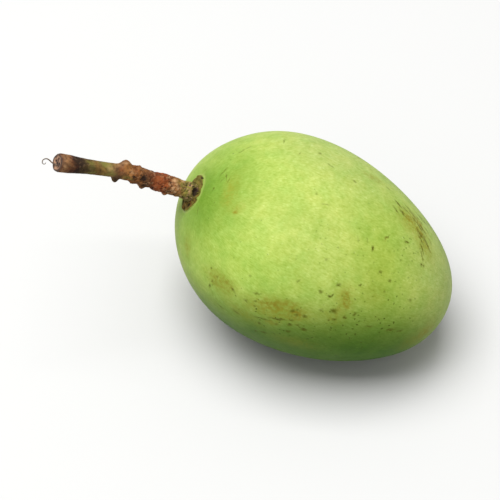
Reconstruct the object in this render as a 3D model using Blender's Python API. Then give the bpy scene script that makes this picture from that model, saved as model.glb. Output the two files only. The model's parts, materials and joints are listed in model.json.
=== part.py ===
"""A whole unripe mango with a short length of its woody stem, lying as it rests on a table.

Metres, +Z up. The origin is the middle of the small flat spot that the fruit rests on. The stem
end points to -X and is a little higher than the tip, because the underside is fuller there.
"""

import math

import bmesh
import bpy
import numpy as np

MILLIMETRE = 0.001

# The fruit, along its own axis from the stem end (-X) to the tip (+X).
HALF_LENGTH = 0.0533
HALF_WIDTH = 0.0397
HALF_THICKNESS = 0.0355
EGG = 0.134  # share by which the stem end is fatter than the middle
FULLNESS = -0.0115  # share by which both ends together are fuller
TIP_SPREAD = 0.070  # share given back at the very tip, so that it stays blunt
BELLY = 0.09  # share by which the underside is fuller towards the stem end
BOW = 0.0018  # sideways bend of the axis
REST_TILT = math.radians(12.2)  # the axis rises towards the stem end by this much
FLAT_DEPTH = 0.0006  # how much of the round underside the flat spot takes off
UNEVENNESS = 0.00022  # height of the slow swells of the skin

# Where the stem is set: measured from the fruit's axis, and round it from +Y.
STEM_SLANT = math.radians(28.5)
STEM_CLOCK = math.radians(130.0)

# The tip's scar, a small nib on the far lower side, measured the same way.
NIB_SLANT = math.radians(148.0)
NIB_CLOCK = math.radians(-40.0)
NIB_HEIGHT = 0.0008
NIB_RADIUS = 0.0050

# The corky ring round the stem, and the socket that the stem stands in.
SOCKET_RADIUS = 0.0037
SOCKET_DEPTH = 0.0016
CORK_RADIUS = 0.0065
CORK_OVAL = 0.14  # share by which it is longer than this radius one way, and shorter across
CORK_OVAL_TURN = 2.04
CORK_LOBES = 0.055  # share by which it has three lobes
CORK_LOBES_TURN = -2.09
CORK_HEIGHT = 0.00055
CORK_EDGE = 0.0006  # width over which the ring falls to the skin
CORK_LUMP = 0.0006  # the lumps of the cork are six times this far apart
CORK_ROUGHNESS = 0.35  # share of the ring's height that the lumps add or take
BASIN_DEPTH = 0.0011  # the ring lies in a shallow dip this deep
BASIN_RADIUS = 0.0105

# The stem, from the floor of its socket to the cut end. Its stations are how far along, and radius.
GAP = 0.0003  # between the stem and the floor of its socket
STEM_LENGTH = 0.0540
STEM_FREE = 0.0040  # the stem is free of the fruit from here on, and turns to its first direction
STEM_FIRST = (math.radians(28.0), math.radians(28.0))  # turned from -X towards -Y, then raised
STEM_LAST = (math.radians(38.0), math.radians(24.0))
STEM_NODE = 0.0270  # it turns from the first to the last at this old joint of the branch
STEM_NODE_WIDTH = 0.0080
STEM_STATIONS = ((0.0, 3.25), (2.4, 3.25), (3.8, 3.3), (6.0, 3.15), (9.0, 3.35), (13.5, 3.4),
                 (17.5, 3.0), (20.0, 3.1), (24.0, 3.05), (28.5, 2.9), (32.5, 2.5), (38.0, 2.5),
                 (43.0, 2.65), (46.0, 2.85), (48.0, 3.05), (50.0, 3.25), (53.3, 3.35), (54.0, 3.1))  # mm
BARK_RIDGE = 0.00010  # height of the rings across the stem's older half
BARK_PITCH = 0.0023
BARK_FLUTE = 0.025  # share by which the younger half is fluted
OLD_BARK_END = 0.0298  # the ringed bark stops here and the younger, smoother bark begins

# Knobs where flower stalks fell off: mm along the stem, clock angle from its top, mm high, mm wide.
KNOBS = ((28.9, -25, 1.5, 2.0), (31.5, 158, 1.9, 1.5), (26.0, 75, 0.7, 1.4), (20.9, 140, 1.3, 1.3),
         (24.7, 140, 0.6, 1.3), (14.6, 5, 0.7, 2.2), (16.0, 140, 0.5, 1.6), (11.9, 140, 0.7, 1.1),
         (12.5, 60, 0.5, 1.3), (23.5, 280, 0.9, 1.4), (15.0, 260, 0.6, 1.3), (37.5, 250, 0.5, 1.1))

SKIN_COLOUR = (0.42, 0.60, 0.14)
SKIN_ROUGHNESS = 0.42
BARK_COLOUR = (0.28, 0.16, 0.07)
BARK_ROUGHNESS = 0.85
CREASE = math.radians(40.0)  # edges sharper than this are drawn sharp

FRUIT_SIDES = 68
CORK_RINGS = (3.85, 4.4, 5.0, 5.6, 6.2, 6.8, 7.3, 7.8, 8.4, 9.4, 11.0, 13.0)  # mm out
BODY_RINGS = 34
STEM_SIDES = 22
OLD_RINGS = 54  # rings along the stem up to the end of the old bark
YOUNG_RINGS = 22


def clear_scene():
    """Removes whatever the scene holds."""
    for item in list(bpy.data.objects):
        bpy.data.objects.remove(item)


def unit(vector):
    """The vector at length 1."""
    return vector / np.linalg.norm(vector, axis=-1, keepdims=True)


def direction(slant, clock):
    """Unit vectors at an angle from the stem end of the axis, and round the axis from +Y."""
    across = np.sin(slant)
    return np.stack([-np.cos(slant), across * np.cos(clock), across * np.sin(clock)], -1)


def smooth_step(value):
    """0 below 0, 1 above 1, and a smooth rise between."""
    t = np.clip(value, 0.0, 1.0)
    return t * t * (3.0 - 2.0 * t)


def halve(low, high, is_low):
    """The value between two arrays at which a test stops holding, by halving the range."""
    for _ in range(30):
        middle = (low + high) / 2
        short = is_low(middle)
        low, high = np.where(short, middle, low), np.where(short, high, middle)
    return (low + high) / 2


def bare_skin(n):
    """The fruit's surface, before its stem end is finished, for unit vectors in its own axes."""
    x, y, z = n[..., 0], n[..., 1], n[..., 2]
    girth = 1.0 - EGG * x + FULLNESS * x**2 + TIP_SPREAD * x**3
    under = 1.0 - BELLY * np.clip(-z, 0.0, 1.0) ** 2 * x
    swell = np.sin(3.1 * x + 2.3 * y + 0.7) * np.sin(2.7 * z - 1.9 * y + 0.4)
    swell = swell + 0.7 * np.sin(5.3 * y + 3.7 * x + 1.1) * np.sin(4.4 * z + 2.0 * x)
    near_nib = n @ direction(NIB_SLANT, NIB_CLOCK)
    nib = NIB_HEIGHT * np.exp((near_nib - 1.0) * (HALF_WIDTH / NIB_RADIUS) ** 2)
    bent = BOW * (x**2 - 0.3)
    surface = np.stack(
        [HALF_LENGTH * x, HALF_WIDTH * y * girth + bent, HALF_THICKNESS * z * girth * under], -1)
    return surface + n * (UNEVENNESS * swell + nib)[..., None]


def tilted(points):
    """Points in the fruit's own axes, turned to the pose in which it rests."""
    c, s = math.cos(REST_TILT), math.sin(REST_TILT)
    return points @ np.array([[c, 0.0, -s], [0.0, 1.0, 0.0], [s, 0.0, c]])


def lowest_skin():
    """The direction of the lowest point of the resting fruit, and its height."""
    degree = math.radians(1.0)
    slant, clock = np.meshgrid(np.arange(181) * degree, np.arange(360) * degree)
    ways = direction(slant.ravel(), clock.ravel())
    height = tilted(bare_skin(ways))[:, 2]
    return ways[np.argmin(height)], height.min()


class StemSeat:
    """The place on the fruit where the stem is set: a point, the way out, and two ways across.

    Directions from the middle of the fruit are also given as complex numbers, which are 0 at
    the seat and grow with the angle from it.
    """

    def __init__(self):
        self.pole = direction(STEM_SLANT, STEM_CLOCK)
        self.side = unit(np.cross([0.0, 1.0, 0.0], self.pole))
        self.top = np.cross(self.pole, self.side)
        self.point = bare_skin(self.pole)
        step = 1e-3
        along = bare_skin(unit(self.pole + step * self.side)) - self.point
        across = bare_skin(unit(self.pole + step * self.top)) - self.point
        self.out = unit(np.cross(along, across))

    def number(self, n):
        """The complex number of a unit vector."""
        return (n @ self.side + 1j * (n @ self.top)) / (1.0 + n @ self.pole)

    def vector(self, number):
        """The unit vectors of complex numbers."""
        size = (abs(number) ** 2)[..., None]
        flat = number.real[..., None] * self.side + number.imag[..., None] * self.top
        return (2.0 * flat + (1.0 - size) * self.pole) / (1.0 + size)

    def reach(self, points):
        """How far points are from the line that the stem leaves along."""
        offset = points - self.point
        return np.linalg.norm(offset - (offset @ self.out)[..., None] * self.out, axis=-1)

    def finished_skin(self, n):
        """The fruit's surface with the corky ring and its dip."""
        skin = bare_skin(n)
        rise = collar(self.reach(skin), np.angle(self.number(n)))
        rise = np.where(n @ self.pole > 0.0, rise, 0.0)
        return skin + rise[..., None] * self.out


def collar(reach, clock):
    """Height of the corky ring and of the dip it lies in, at a reach from the stem's line."""
    oval = CORK_OVAL * np.cos(2.0 * clock - CORK_OVAL_TURN)
    lobes = CORK_LOBES * np.cos(3.0 * clock - CORK_LOBES_TURN)
    edge = CORK_RADIUS * (1.0 + oval + lobes)
    ring = CORK_HEIGHT * smooth_step((edge - reach) / CORK_EDGE)
    along, across = reach * np.cos(clock) / CORK_LUMP, reach * np.sin(clock) / CORK_LUMP
    lumps = np.sin(along + 1.2 * np.sin(across)) + np.sin(across - 1.1 * np.cos(along + 0.8))
    outside = smooth_step((reach - SOCKET_RADIUS) / CORK_EDGE)
    ring = ring * (1.0 + CORK_ROUGHNESS * lumps * outside)
    return ring - BASIN_DEPTH * np.exp(-((reach / BASIN_RADIUS) ** 2))


def socket_rings(seat, clock):
    """The middle of the socket's floor and the rings round it."""
    floor = seat.point - (SOCKET_DEPTH + BASIN_DEPTH) * seat.out
    around = seat.vector(np.exp(1j * clock))
    around = unit(around - (around @ seat.out)[:, None] * seat.out)
    return floor, [floor + share * SOCKET_RADIUS * around for share in (0.5, 1.0)]


def skin_rings(seat, clock):
    """Rings from the socket's lip to the rim of the flat spot, and the height of that spot."""
    turn = np.exp(1j * clock)
    rings = []
    for radius in CORK_RINGS:
        size = halve(
            np.zeros_like(clock), np.full_like(clock, 0.5),
            lambda s, r=radius * MILLIMETRE: seat.reach(bare_skin(seat.vector(s * turn))) < r)
        rings.append(seat.finished_skin(seat.vector(size * turn)))
    lowest, height = lowest_skin()
    table = height + FLAT_DEPTH
    foot = seat.number(lowest)
    first = size * turn / (1.0 - size * turn / foot)

    def spread(opening):
        """Directions on arcs that run from the seat, at opening 0, to the lowest point, at pi."""
        far = np.tan(opening / 2) * first / abs(first)
        return seat.vector(far / (1.0 + far / foot))

    start = 2.0 * np.arctan(abs(first))
    rim = halve(
        np.full_like(start, 2.0), np.full_like(start, math.pi - 1e-6),
        lambda opening: tilted(bare_skin(spread(opening)))[:, 2] > table)
    for step in range(1, BODY_RINGS + 1):
        rings.append(seat.finished_skin(spread(start + (rim - start) * step / BODY_RINGS)))
    return rings, table


def level_direction(heading, rise):
    """A unit vector turned from -X towards -Y by the heading, and raised from the table."""
    across = math.cos(rise)
    return np.array([-across * math.cos(heading), -across * math.sin(heading), math.sin(rise)])


def stem_path(seat, shift):
    """Centres, directions and lengths along the stem, leaving square and bending at its node."""
    start = tilted(seat.out)
    old = np.linspace(0.0, OLD_BARK_END, OLD_RINGS, endpoint=False)
    lengths = np.append(old, np.linspace(OLD_BARK_END, STEM_LENGTH, YOUNG_RINGS))
    free = smooth_step((lengths - STEM_FREE / 2) / STEM_FREE)[:, None]
    bend = smooth_step((lengths - STEM_NODE) / STEM_NODE_WIDTH + 0.5)[:, None]
    ways = (1.0 - bend) * level_direction(*STEM_FIRST) + bend * level_direction(*STEM_LAST)
    ways = unit((1.0 - free) * start + free * ways)
    foot = tilted(seat.point) + (GAP - SOCKET_DEPTH - BASIN_DEPTH) * start + shift
    steps = (ways[1:] + ways[:-1]) / 2 * np.diff(lengths)[:, None]
    return foot + np.vstack([np.zeros(3), np.cumsum(steps, axis=0)]), ways, lengths


def stem_radius(length, clock):
    """Radius of the stem at a length from its foot, with bark rings and knobs."""
    stations = np.array(STEM_STATIONS) * MILLIMETRE
    radius = np.interp(length, stations[:, 0], stations[:, 1])
    old = smooth_step((OLD_BARK_END - length) / 0.003) * smooth_step((length - 0.004) / 0.002)
    turns = 2.0 * math.pi * length / BARK_PITCH
    wave = np.sin(turns + 1.6 * np.sin(clock + turns / 7.0) + np.cos(2.0 * clock - turns / 4.0))
    wave = wave * (0.6 + 0.5 * np.sin(3.0 * clock + turns / 3.0))
    radius = radius + BARK_RIDGE * old * wave
    radius = radius * (1.0 + BARK_FLUTE * (1.0 - old) * np.cos(5.0 * clock + turns / 40.0))
    for place, turn, height, width in KNOBS:
        away = np.angle(np.exp(1j * (clock - math.radians(turn)))) * radius
        near = (away**2 + (length - place * MILLIMETRE) ** 2) / (width * MILLIMETRE) ** 2
        radius = radius + height * MILLIMETRE * np.exp(-1.6 * near)
    return radius


def plain_material(name, colour, roughness):
    """A Principled material of one colour."""
    material = bpy.data.materials.new(name)
    material.use_nodes = True
    shader = material.node_tree.nodes["Principled BSDF"]
    shader.inputs["Base Color"].default_value = (*colour, 1.0)
    shader.inputs["Roughness"].default_value = roughness
    shader.inputs["Metallic"].default_value = 0.0
    return material


def build_object(name, first, rings, last, material):
    """Adds a closed, smooth-shaded object made of rings of points and a point to close each end."""
    mesh = bpy.data.meshes.new(name)
    shape = bmesh.new()
    loops = [[shape.verts.new(point) for point in ring] for ring in rings]
    ends = [shape.verts.new(first), shape.verts.new(last)]
    sides = len(loops[0])
    for i in range(sides):
        j = (i + 1) % sides
        shape.faces.new((ends[0], loops[0][j], loops[0][i]))
        shape.faces.new((ends[1], loops[-1][i], loops[-1][j]))
        for here, there in zip(loops, loops[1:]):
            shape.faces.new((here[i], here[j], there[j], there[i]))
    bmesh.ops.recalc_face_normals(shape, faces=shape.faces)
    shape.to_mesh(mesh)
    shape.free()
    mesh.materials.append(material)
    mesh.shade_smooth()
    mesh.set_sharp_from_angle(angle=CREASE)
    bpy.context.scene.collection.objects.link(bpy.data.objects.new(name, mesh))


def make_fruit(seat):
    """Makes the fruit, resting on the table, and returns the shift that set it there."""
    clock = np.linspace(0.0, 2.0 * math.pi, FRUIT_SIDES, endpoint=False)
    floor, rings = socket_rings(seat, clock)
    outside, table = skin_rings(seat, clock)
    rings = [tilted(ring) for ring in rings + outside]
    rings[-1][:, 2] = table
    rim = rings[-1]
    middle = (rim.min(axis=0) + rim.max(axis=0)) / 2
    material = plain_material("skin", SKIN_COLOUR, SKIN_ROUGHNESS)
    build_object("fruit", tilted(floor) - middle, [r - middle for r in rings], [0, 0, 0], material)
    return -middle


def make_stem(seat, shift):
    """Makes the stem, a little clear of its socket, ending in a flat cut."""
    clock = np.linspace(0.0, 2.0 * math.pi, STEM_SIDES, endpoint=False)
    centres, ways, lengths = stem_path(seat, shift)
    rings = []
    for centre, way, length in zip(centres, ways, lengths):
        right = unit(np.cross([0.0, 0.0, 1.0], way))
        top = np.cross(way, right)
        around = np.sin(clock)[:, None] * right + np.cos(clock)[:, None] * top
        rings.append(centre + stem_radius(length, clock)[:, None] * around)
    material = plain_material("bark", BARK_COLOUR, BARK_ROUGHNESS)
    build_object("stem", centres[0], rings, centres[-1], material)


def main():
    """Builds the fruit and its stem."""
    clear_scene()
    seat = StemSeat()
    make_stem(seat, make_fruit(seat))


main()
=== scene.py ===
"""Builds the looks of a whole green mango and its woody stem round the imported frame."""

import json
import logging
import math
from collections.abc import Callable, Iterable, Sequence
from dataclasses import dataclass, field
from enum import Enum

import bpy
import numpy as np
from mathutils import Matrix, Vector, noise
from mathutils.bvhtree import BVHTree

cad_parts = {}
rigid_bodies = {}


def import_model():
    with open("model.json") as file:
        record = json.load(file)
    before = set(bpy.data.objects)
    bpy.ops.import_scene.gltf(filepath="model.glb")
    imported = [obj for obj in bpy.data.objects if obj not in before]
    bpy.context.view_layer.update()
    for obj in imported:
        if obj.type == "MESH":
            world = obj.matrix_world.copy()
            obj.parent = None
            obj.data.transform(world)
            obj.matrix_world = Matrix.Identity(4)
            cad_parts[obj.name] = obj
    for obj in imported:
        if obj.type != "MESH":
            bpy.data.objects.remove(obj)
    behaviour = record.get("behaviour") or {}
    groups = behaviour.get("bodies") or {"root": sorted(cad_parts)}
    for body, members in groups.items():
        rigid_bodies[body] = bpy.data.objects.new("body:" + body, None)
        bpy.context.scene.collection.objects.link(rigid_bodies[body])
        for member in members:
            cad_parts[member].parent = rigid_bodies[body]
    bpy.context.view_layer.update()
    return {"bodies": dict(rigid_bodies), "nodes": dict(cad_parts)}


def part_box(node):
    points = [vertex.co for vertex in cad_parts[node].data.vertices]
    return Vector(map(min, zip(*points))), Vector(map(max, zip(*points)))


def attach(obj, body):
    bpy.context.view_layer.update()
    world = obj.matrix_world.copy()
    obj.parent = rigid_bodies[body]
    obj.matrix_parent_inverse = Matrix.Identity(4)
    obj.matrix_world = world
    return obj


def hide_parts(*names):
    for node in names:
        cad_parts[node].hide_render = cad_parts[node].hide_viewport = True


log = logging.getLogger("mango")

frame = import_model()

MM = 0.001
HALVINGS = 30
CLOUD_FALL = 0.9
CLOUD_STEP = 2.1
CRACK_WIDTH = 0.22
PLATE_NUMBERS = 7.3
RAY_START = 200.0 * MM

Array = np.ndarray
Material = bpy.types.Material
Node = bpy.types.Node
Socket = bpy.types.NodeSocket
Colour = tuple[float, float, float]
# A pixel of the photograph, across and down.
Pixel = tuple[float, float]
# Two values of a mask and, where they aren't 0 and 1, the shares there.
Span = tuple[float, ...]
# A place on a mesh, and the turn of axes that lie along the mesh there.
Where = tuple[Vector, Matrix]


def unit(vectors: Array) -> Array:
    """Returns the vectors at length 1."""
    return vectors / np.linalg.norm(vectors, axis=-1, keepdims=True)


def smooth_step(value: Array) -> Array:
    """Returns 0 below 0, 1 above 1, and a smooth rise between."""
    t = np.clip(value, 0.0, 1.0)
    return t * t * (3.0 - 2.0 * t)


def halve(low: Array, high: Array, is_low: Callable[[Array], Array]) -> Array:
    """Finds where a test stops holding, by halving a range.

    Args:
        low: Values for which the test holds.
        high: Values for which it doesn't.
        is_low: The test, on an array of values.

    Returns:
        The values at which it stops holding.
    """
    for _ in range(HALVINGS):
        middle = (low + high) / 2
        short = is_low(middle)
        low, high = np.where(short, middle, low), np.where(short, high, middle)
    return (low + high) / 2


def cloud(points: Array, size: float, octaves: int) -> Array:
    """Returns smooth noise of about -1 to 1 at the points, with lumps of the given size."""
    scaled = points / size
    return np.array([noise.fractal(Vector(p), CLOUD_FALL, CLOUD_STEP, octaves) for p in scaled])


def plates(points: Array, size: float) -> tuple[Array, Array]:
    """Splits space into rough plates, as in scaly bark.

    Args:
        points: Points.
        size: The width of a plate.

    Returns:
        For each point, 0 in the crack between plates to 1 well inside one, and its plate's own
        number of 0 to 1.
    """
    inside, number = np.empty(len(points)), np.empty(len(points))
    for index, point in enumerate(points / size):
        distances, centres = noise.voronoi(Vector(point))
        inside[index] = distances[1] - distances[0]
        number[index] = noise.cell(centres[0] * PLATE_NUMBERS)
    return smooth_step(inside / CRACK_WIDTH), np.abs(number)


def clock_face(count: int) -> Array:
    """Returns evenly spaced angles round a full turn."""
    return np.linspace(0.0, 2.0 * math.pi, count, endpoint=False)


def ring_round(way: Array, right: Array, sides: int) -> Array:
    """Returns evenly spaced directions round a way. The first is square to it and to right."""
    clock = clock_face(sides)
    return np.sin(clock)[:, None] * right + np.cos(clock)[:, None] * np.cross(way, right)


def ring_faces(count: int, sides: int) -> list[list[int]]:
    """Lists the faces between rings of points.

    Args:
        count: How many rings there are.
        sides: How many points each has.

    Returns:
        The faces, ring by ring, as numbers of points.
    """
    here = np.arange(sides)
    there = (here + 1) % sides
    faces: list[list[int]] = []
    for ring in range(count - 1):
        low, high = ring * sides, (ring + 1) * sides
        faces += np.stack([low + here, high + here, high + there, low + there], 1).tolist()
    return faces


class RingMesh:
    """A closed surface made of rings of points, with a point to close each end.

    Seen from the first end the rings run anticlockwise, so that the faces point out.
    """

    def __init__(self, name: str, first: Array, rings: Sequence[Array], last: Array) -> None:
        """Joins the rings into an object.

        Args:
            name: The object's name.
            first: The point that closes the first ring.
            rings: Rings of points, all with the same number of them.
            last: The point that closes the last ring.
        """
        self.sides = len(rings[0])
        self.points = np.vstack([*rings, first, last])
        mesh = bpy.data.meshes.new(name)
        mesh.from_pydata(self.points.tolist(), [], self._faces(len(rings)))
        mesh.shade_smooth()
        self.object = bpy.data.objects.new(name, mesh)
        bpy.context.scene.collection.objects.link(self.object)

    def _faces(self, count: int) -> list[list[int]]:
        """Lists the faces of the closed surface.

        Args:
            count: How many rings there are.

        Returns:
            The faces, ring by ring, then the two closing fans.
        """
        first, last = count * self.sides, count * self.sides + 1
        end = first - self.sides
        faces = ring_faces(count, self.sides)
        around = [(corner, (corner + 1) % self.sides) for corner in range(self.sides)]
        faces += [[first, here, there] for here, there in around]
        faces += [[last, end + there, end + here] for here, there in around]
        return faces

    def attribute(self, name: str, values: Array) -> None:
        """Stores a number or a vector for each point.

        Args:
            name: The name that a finish reads it by.
            values: The numbers or vectors.
        """
        flat = np.asarray(values, np.float32)
        kind, key = ("FLOAT", "value") if flat.ndim == 1 else ("FLOAT_VECTOR", "vector")
        layer = self.object.data.attributes.new(name, kind, "POINT")
        layer.data.foreach_set(key, flat.ravel())

    def dress(self, materials: Sequence[Material], second: Array | None = None) -> None:
        """Gives the object its materials.

        Args:
            materials: One material, or two.
            second: Marks the points whose faces take the second material.
        """
        mesh = self.object.data
        for material in materials:
            mesh.materials.append(material)
        if second is None:
            return
        chosen = [all(second[i] for i in face.vertices) for face in mesh.polygons]
        mesh.polygons.foreach_set("material_index", np.array(chosen, np.int32))

    def place_on(self, node: str) -> None:
        """Puts the object in place of a CAD node.

        Args:
            node: The node's name.
        """
        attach(self.object, "root")
        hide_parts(node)


@dataclass(frozen=True)
class FruitForm:
    """The shape of the fruit, in its own axes: -X is the stem end, +X the tip.

    Lengths are in metres and angles in radians. Directions are unit vectors from its middle.
    """

    half_length: float = 53.3 * MM
    half_width: float = 39.7 * MM
    half_thickness: float = 35.5 * MM
    egg: float = 0.134
    fullness: float = -0.0115
    tip_spread: float = 0.070
    belly: float = 0.09
    bow: float = 1.8 * MM
    bow_level: float = 0.3
    rest_tilt: float = math.radians(12.2)
    flat_depth: float = 0.6 * MM
    unevenness: float = 0.22 * MM
    nib_slant: float = math.radians(148.0)
    nib_clock: float = math.radians(-40.0)
    nib_height: float = 0.8 * MM
    nib_radius: float = 5.0 * MM

    @staticmethod
    def direction(slant: Array | float, clock: Array | float) -> Array:
        """Returns directions at an angle from the stem end, and round the axis from +Y."""
        across = np.sin(slant)
        return np.stack([-np.cos(slant), across * np.cos(clock), across * np.sin(clock)], -1)

    def skin(self, n: Array) -> Array:
        """Shapes the bare skin: an egg with slow swells and a nib.

        Args:
            n: Directions.

        Returns:
            The skin's points in those directions.
        """
        x, y, z = n[..., 0], n[..., 1], n[..., 2]
        girth = 1.0 - self.egg * x + self.fullness * x**2 + self.tip_spread * x**3
        under = 1.0 - self.belly * np.clip(-z, 0.0, 1.0) ** 2 * x
        swell = np.sin(3.1 * x + 2.3 * y + 0.7) * np.sin(2.7 * z - 1.9 * y + 0.4)
        swell = swell + 0.7 * np.sin(5.3 * y + 3.7 * x + 1.1) * np.sin(4.4 * z + 2.0 * x)
        near_nib = n @ self.direction(self.nib_slant, self.nib_clock)
        nib = self.nib_height * np.exp((near_nib - 1.0) * (self.half_width / self.nib_radius) ** 2)
        length = self.half_length * x
        width = self.half_width * y * girth + self.bow * (x**2 - self.bow_level)
        thickness = self.half_thickness * z * girth * under
        surface = np.stack([length, width, thickness], -1)
        return surface + n * (self.unevenness * swell + nib)[..., None]

    def tilted(self, points: Array) -> Array:
        """Returns points or directions turned from the fruit's own axes to its resting pose."""
        c, s = math.cos(self.rest_tilt), math.sin(self.rest_tilt)
        return points @ np.array([[c, 0.0, -s], [0.0, 1.0, 0.0], [s, 0.0, c]])

    def lowest(self) -> tuple[Array, float]:
        """Finds the lowest point of the resting fruit.

        Returns:
            Its direction and its height.
        """
        degree = math.radians(1.0)
        slant, clock = np.meshgrid(np.arange(181) * degree, np.arange(360) * degree)
        ways = self.direction(slant.ravel(), clock.ravel())
        height = self.tilted(self.skin(ways))[:, 2]
        return ways[np.argmin(height)], float(height.min())


class StemSeat:
    """The place on the fruit where the stem is set: a point, the way out, two ways across.

    Directions are also given as complex numbers, which are 0 at the seat and grow with the
    angle from it. A ring round the stem is looked for up to the widest one.
    """

    STEP = 1e-3
    WIDEST = 0.5

    def __init__(self, form: FruitForm, slant: float, clock: float) -> None:
        """Finds the seat.

        Args:
            form: The shape of the fruit.
            slant: The angle from the fruit's stem end, in radians.
            clock: The angle round its axis from +Y, in radians.
        """
        self.form = form
        self.pole = form.direction(slant, clock)
        self.side = unit(np.cross([0.0, 1.0, 0.0], self.pole))
        self.top = np.cross(self.pole, self.side)
        self.point = form.skin(self.pole)
        along = form.skin(unit(self.pole + self.STEP * self.side)) - self.point
        across = form.skin(unit(self.pole + self.STEP * self.top)) - self.point
        self.out = unit(np.cross(along, across))

    def number(self, n: Array) -> Array:
        """Returns the complex numbers of directions."""
        return (n @ self.side + 1j * (n @ self.top)) / (1.0 + n @ self.pole)

    def vector(self, number: Array) -> Array:
        """Turns complex numbers back into directions.

        Args:
            number: The complex numbers.

        Returns:
            Their directions.
        """
        size = (abs(number) ** 2)[..., None]
        flat = number.real[..., None] * self.side + number.imag[..., None] * self.top
        return (2.0 * flat + (1.0 - size) * self.pole) / (1.0 + size)

    def reach(self, points: Array) -> Array:
        """Returns how far points are from the line that the stem leaves along."""
        offset = points - self.point
        return np.linalg.norm(offset - (offset @ self.out)[..., None] * self.out, axis=-1)

    def at_reach(self, radius: float, turn: Array) -> Array:
        """Finds a ring of skin round the stem.

        Args:
            radius: How far it is from the line that the stem leaves along.
            turn: The turns of its points, as complex numbers of size 1.

        Returns:
            The complex numbers of its points.
        """
        low, high = np.zeros(len(turn)), np.full(len(turn), self.WIDEST)
        size = halve(low, high, lambda s: self.reach(self.form.skin(self.vector(s * turn))) < radius)
        return size * turn

    def arcs(self, start: Array) -> Callable[[Array], Array]:
        """Draws arcs from the seat to the lowest point.

        Args:
            start: The numbers that the arcs pass through.

        Returns:
            A function that gives the arcs' directions at an opening, which is 0 at the seat and pi
            at the lowest point.
        """
        foot = self.number(self.form.lowest()[0])
        first = start / (1.0 - start / foot)

        def directions(opening: Array) -> Array:
            """Returns the arcs' directions at an opening."""
            far = np.tan(opening / 2) * first / abs(first)
            return self.vector(far / (1.0 + far / foot))

        return directions

    def opening(self, start: Array) -> Array:
        """Returns the openings at which the arcs pass through their start."""
        foot = self.number(self.form.lowest()[0])
        return 2.0 * np.arctan(abs(start / (1.0 - start / foot)))

    def flow(self, n: Array, squeeze: float) -> Array:
        """Returns coordinates that run along the fruit from its stem to its tip.

        Args:
            n: Directions.
            squeeze: How much shorter a length counts along the fruit than across it.

        Returns:
            Points on a cylinder as wide as the fruit, in metres.
        """
        tip = self.number(self.form.direction(self.form.nib_slant, self.form.nib_clock))
        number = self.number(n)
        straight = number / (1.0 - number / tip)
        turn, radius = np.angle(straight), self.form.half_width
        along = 2.0 * np.arctan(abs(straight)) * self.form.half_length * squeeze
        return np.stack([radius * np.cos(turn), radius * np.sin(turn), along], -1)


@dataclass(frozen=True)
class CorkRing:
    """The corky scar round the stem, and the shallow dip that it lies in."""

    radius: float = 6.5 * MM
    oval: float = 0.14
    oval_turn: float = 2.04
    lobes: float = 0.055
    lobes_turn: float = -2.09
    height: float = 0.55 * MM
    edge: float = 0.6 * MM
    lump: float = 0.6 * MM
    roughness: float = 0.35
    inner: float = 3.7 * MM
    basin_depth: float = 1.1 * MM
    basin_radius: float = 10.5 * MM
    crumb: float = 0.16 * MM
    crumb_size: float = 2.3 * MM
    grain_size: float = 0.7 * MM
    plate_width: float = 1.25 * MM
    plate_shift: float = 0.4 * MM

    def outline(self, clock: Array) -> Array:
        """Returns the radius of the scar's uneven outline."""
        oval = self.oval * np.cos(2.0 * clock - self.oval_turn)
        return self.radius * (1.0 + oval + self.lobes * np.cos(3.0 * clock - self.lobes_turn))

    def share(self, reach: Array, clock: Array) -> Array:
        """Returns 1 on the scar and 0 on the skin."""
        return smooth_step((self.outline(clock) - reach) / self.edge)

    def rise(self, reach: Array, clock: Array) -> Array:
        """Shapes the ring and its dip.

        Args:
            reach: Distances from the line that the stem leaves along.
            clock: Angles round it.

        Returns:
            The height over the bare skin.
        """
        along = reach * np.cos(clock) / self.lump
        across = reach * np.sin(clock) / self.lump
        lumps = np.sin(along + 1.2 * np.sin(across)) + np.sin(across - 1.1 * np.cos(along + 0.8))
        outside = smooth_step((reach - self.inner) / self.edge)
        ring = self.height * self.share(reach, clock) * (1.0 + self.roughness * lumps * outside)
        return ring - self.basin_depth * np.exp(-((reach / self.basin_radius) ** 2))

    def crumbs(self, skin: Array, scar: Array) -> Array:
        """Shapes the fine crumbly relief of the scar.

        Args:
            skin: Points of the bare skin.
            scar: 1 at the points on the scar and 0 off it.

        Returns:
            The relief, which is about -1 to 1, and 0 off the scar.
        """
        lumps = np.zeros(len(skin))
        on = scar > 0.01
        coarse = cloud(skin[on], self.crumb_size, octaves=5)
        fine = cloud(skin[on] + 1.0, self.grain_size, octaves=3)
        inside, number = plates(skin[on] + self.plate_shift * coarse[:, None], self.plate_width)
        lumps[on] = scar[on] * (0.7 * coarse + 0.3 * fine + 0.35 * inside - 0.3 + 0.25 * number)
        return lumps


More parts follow.
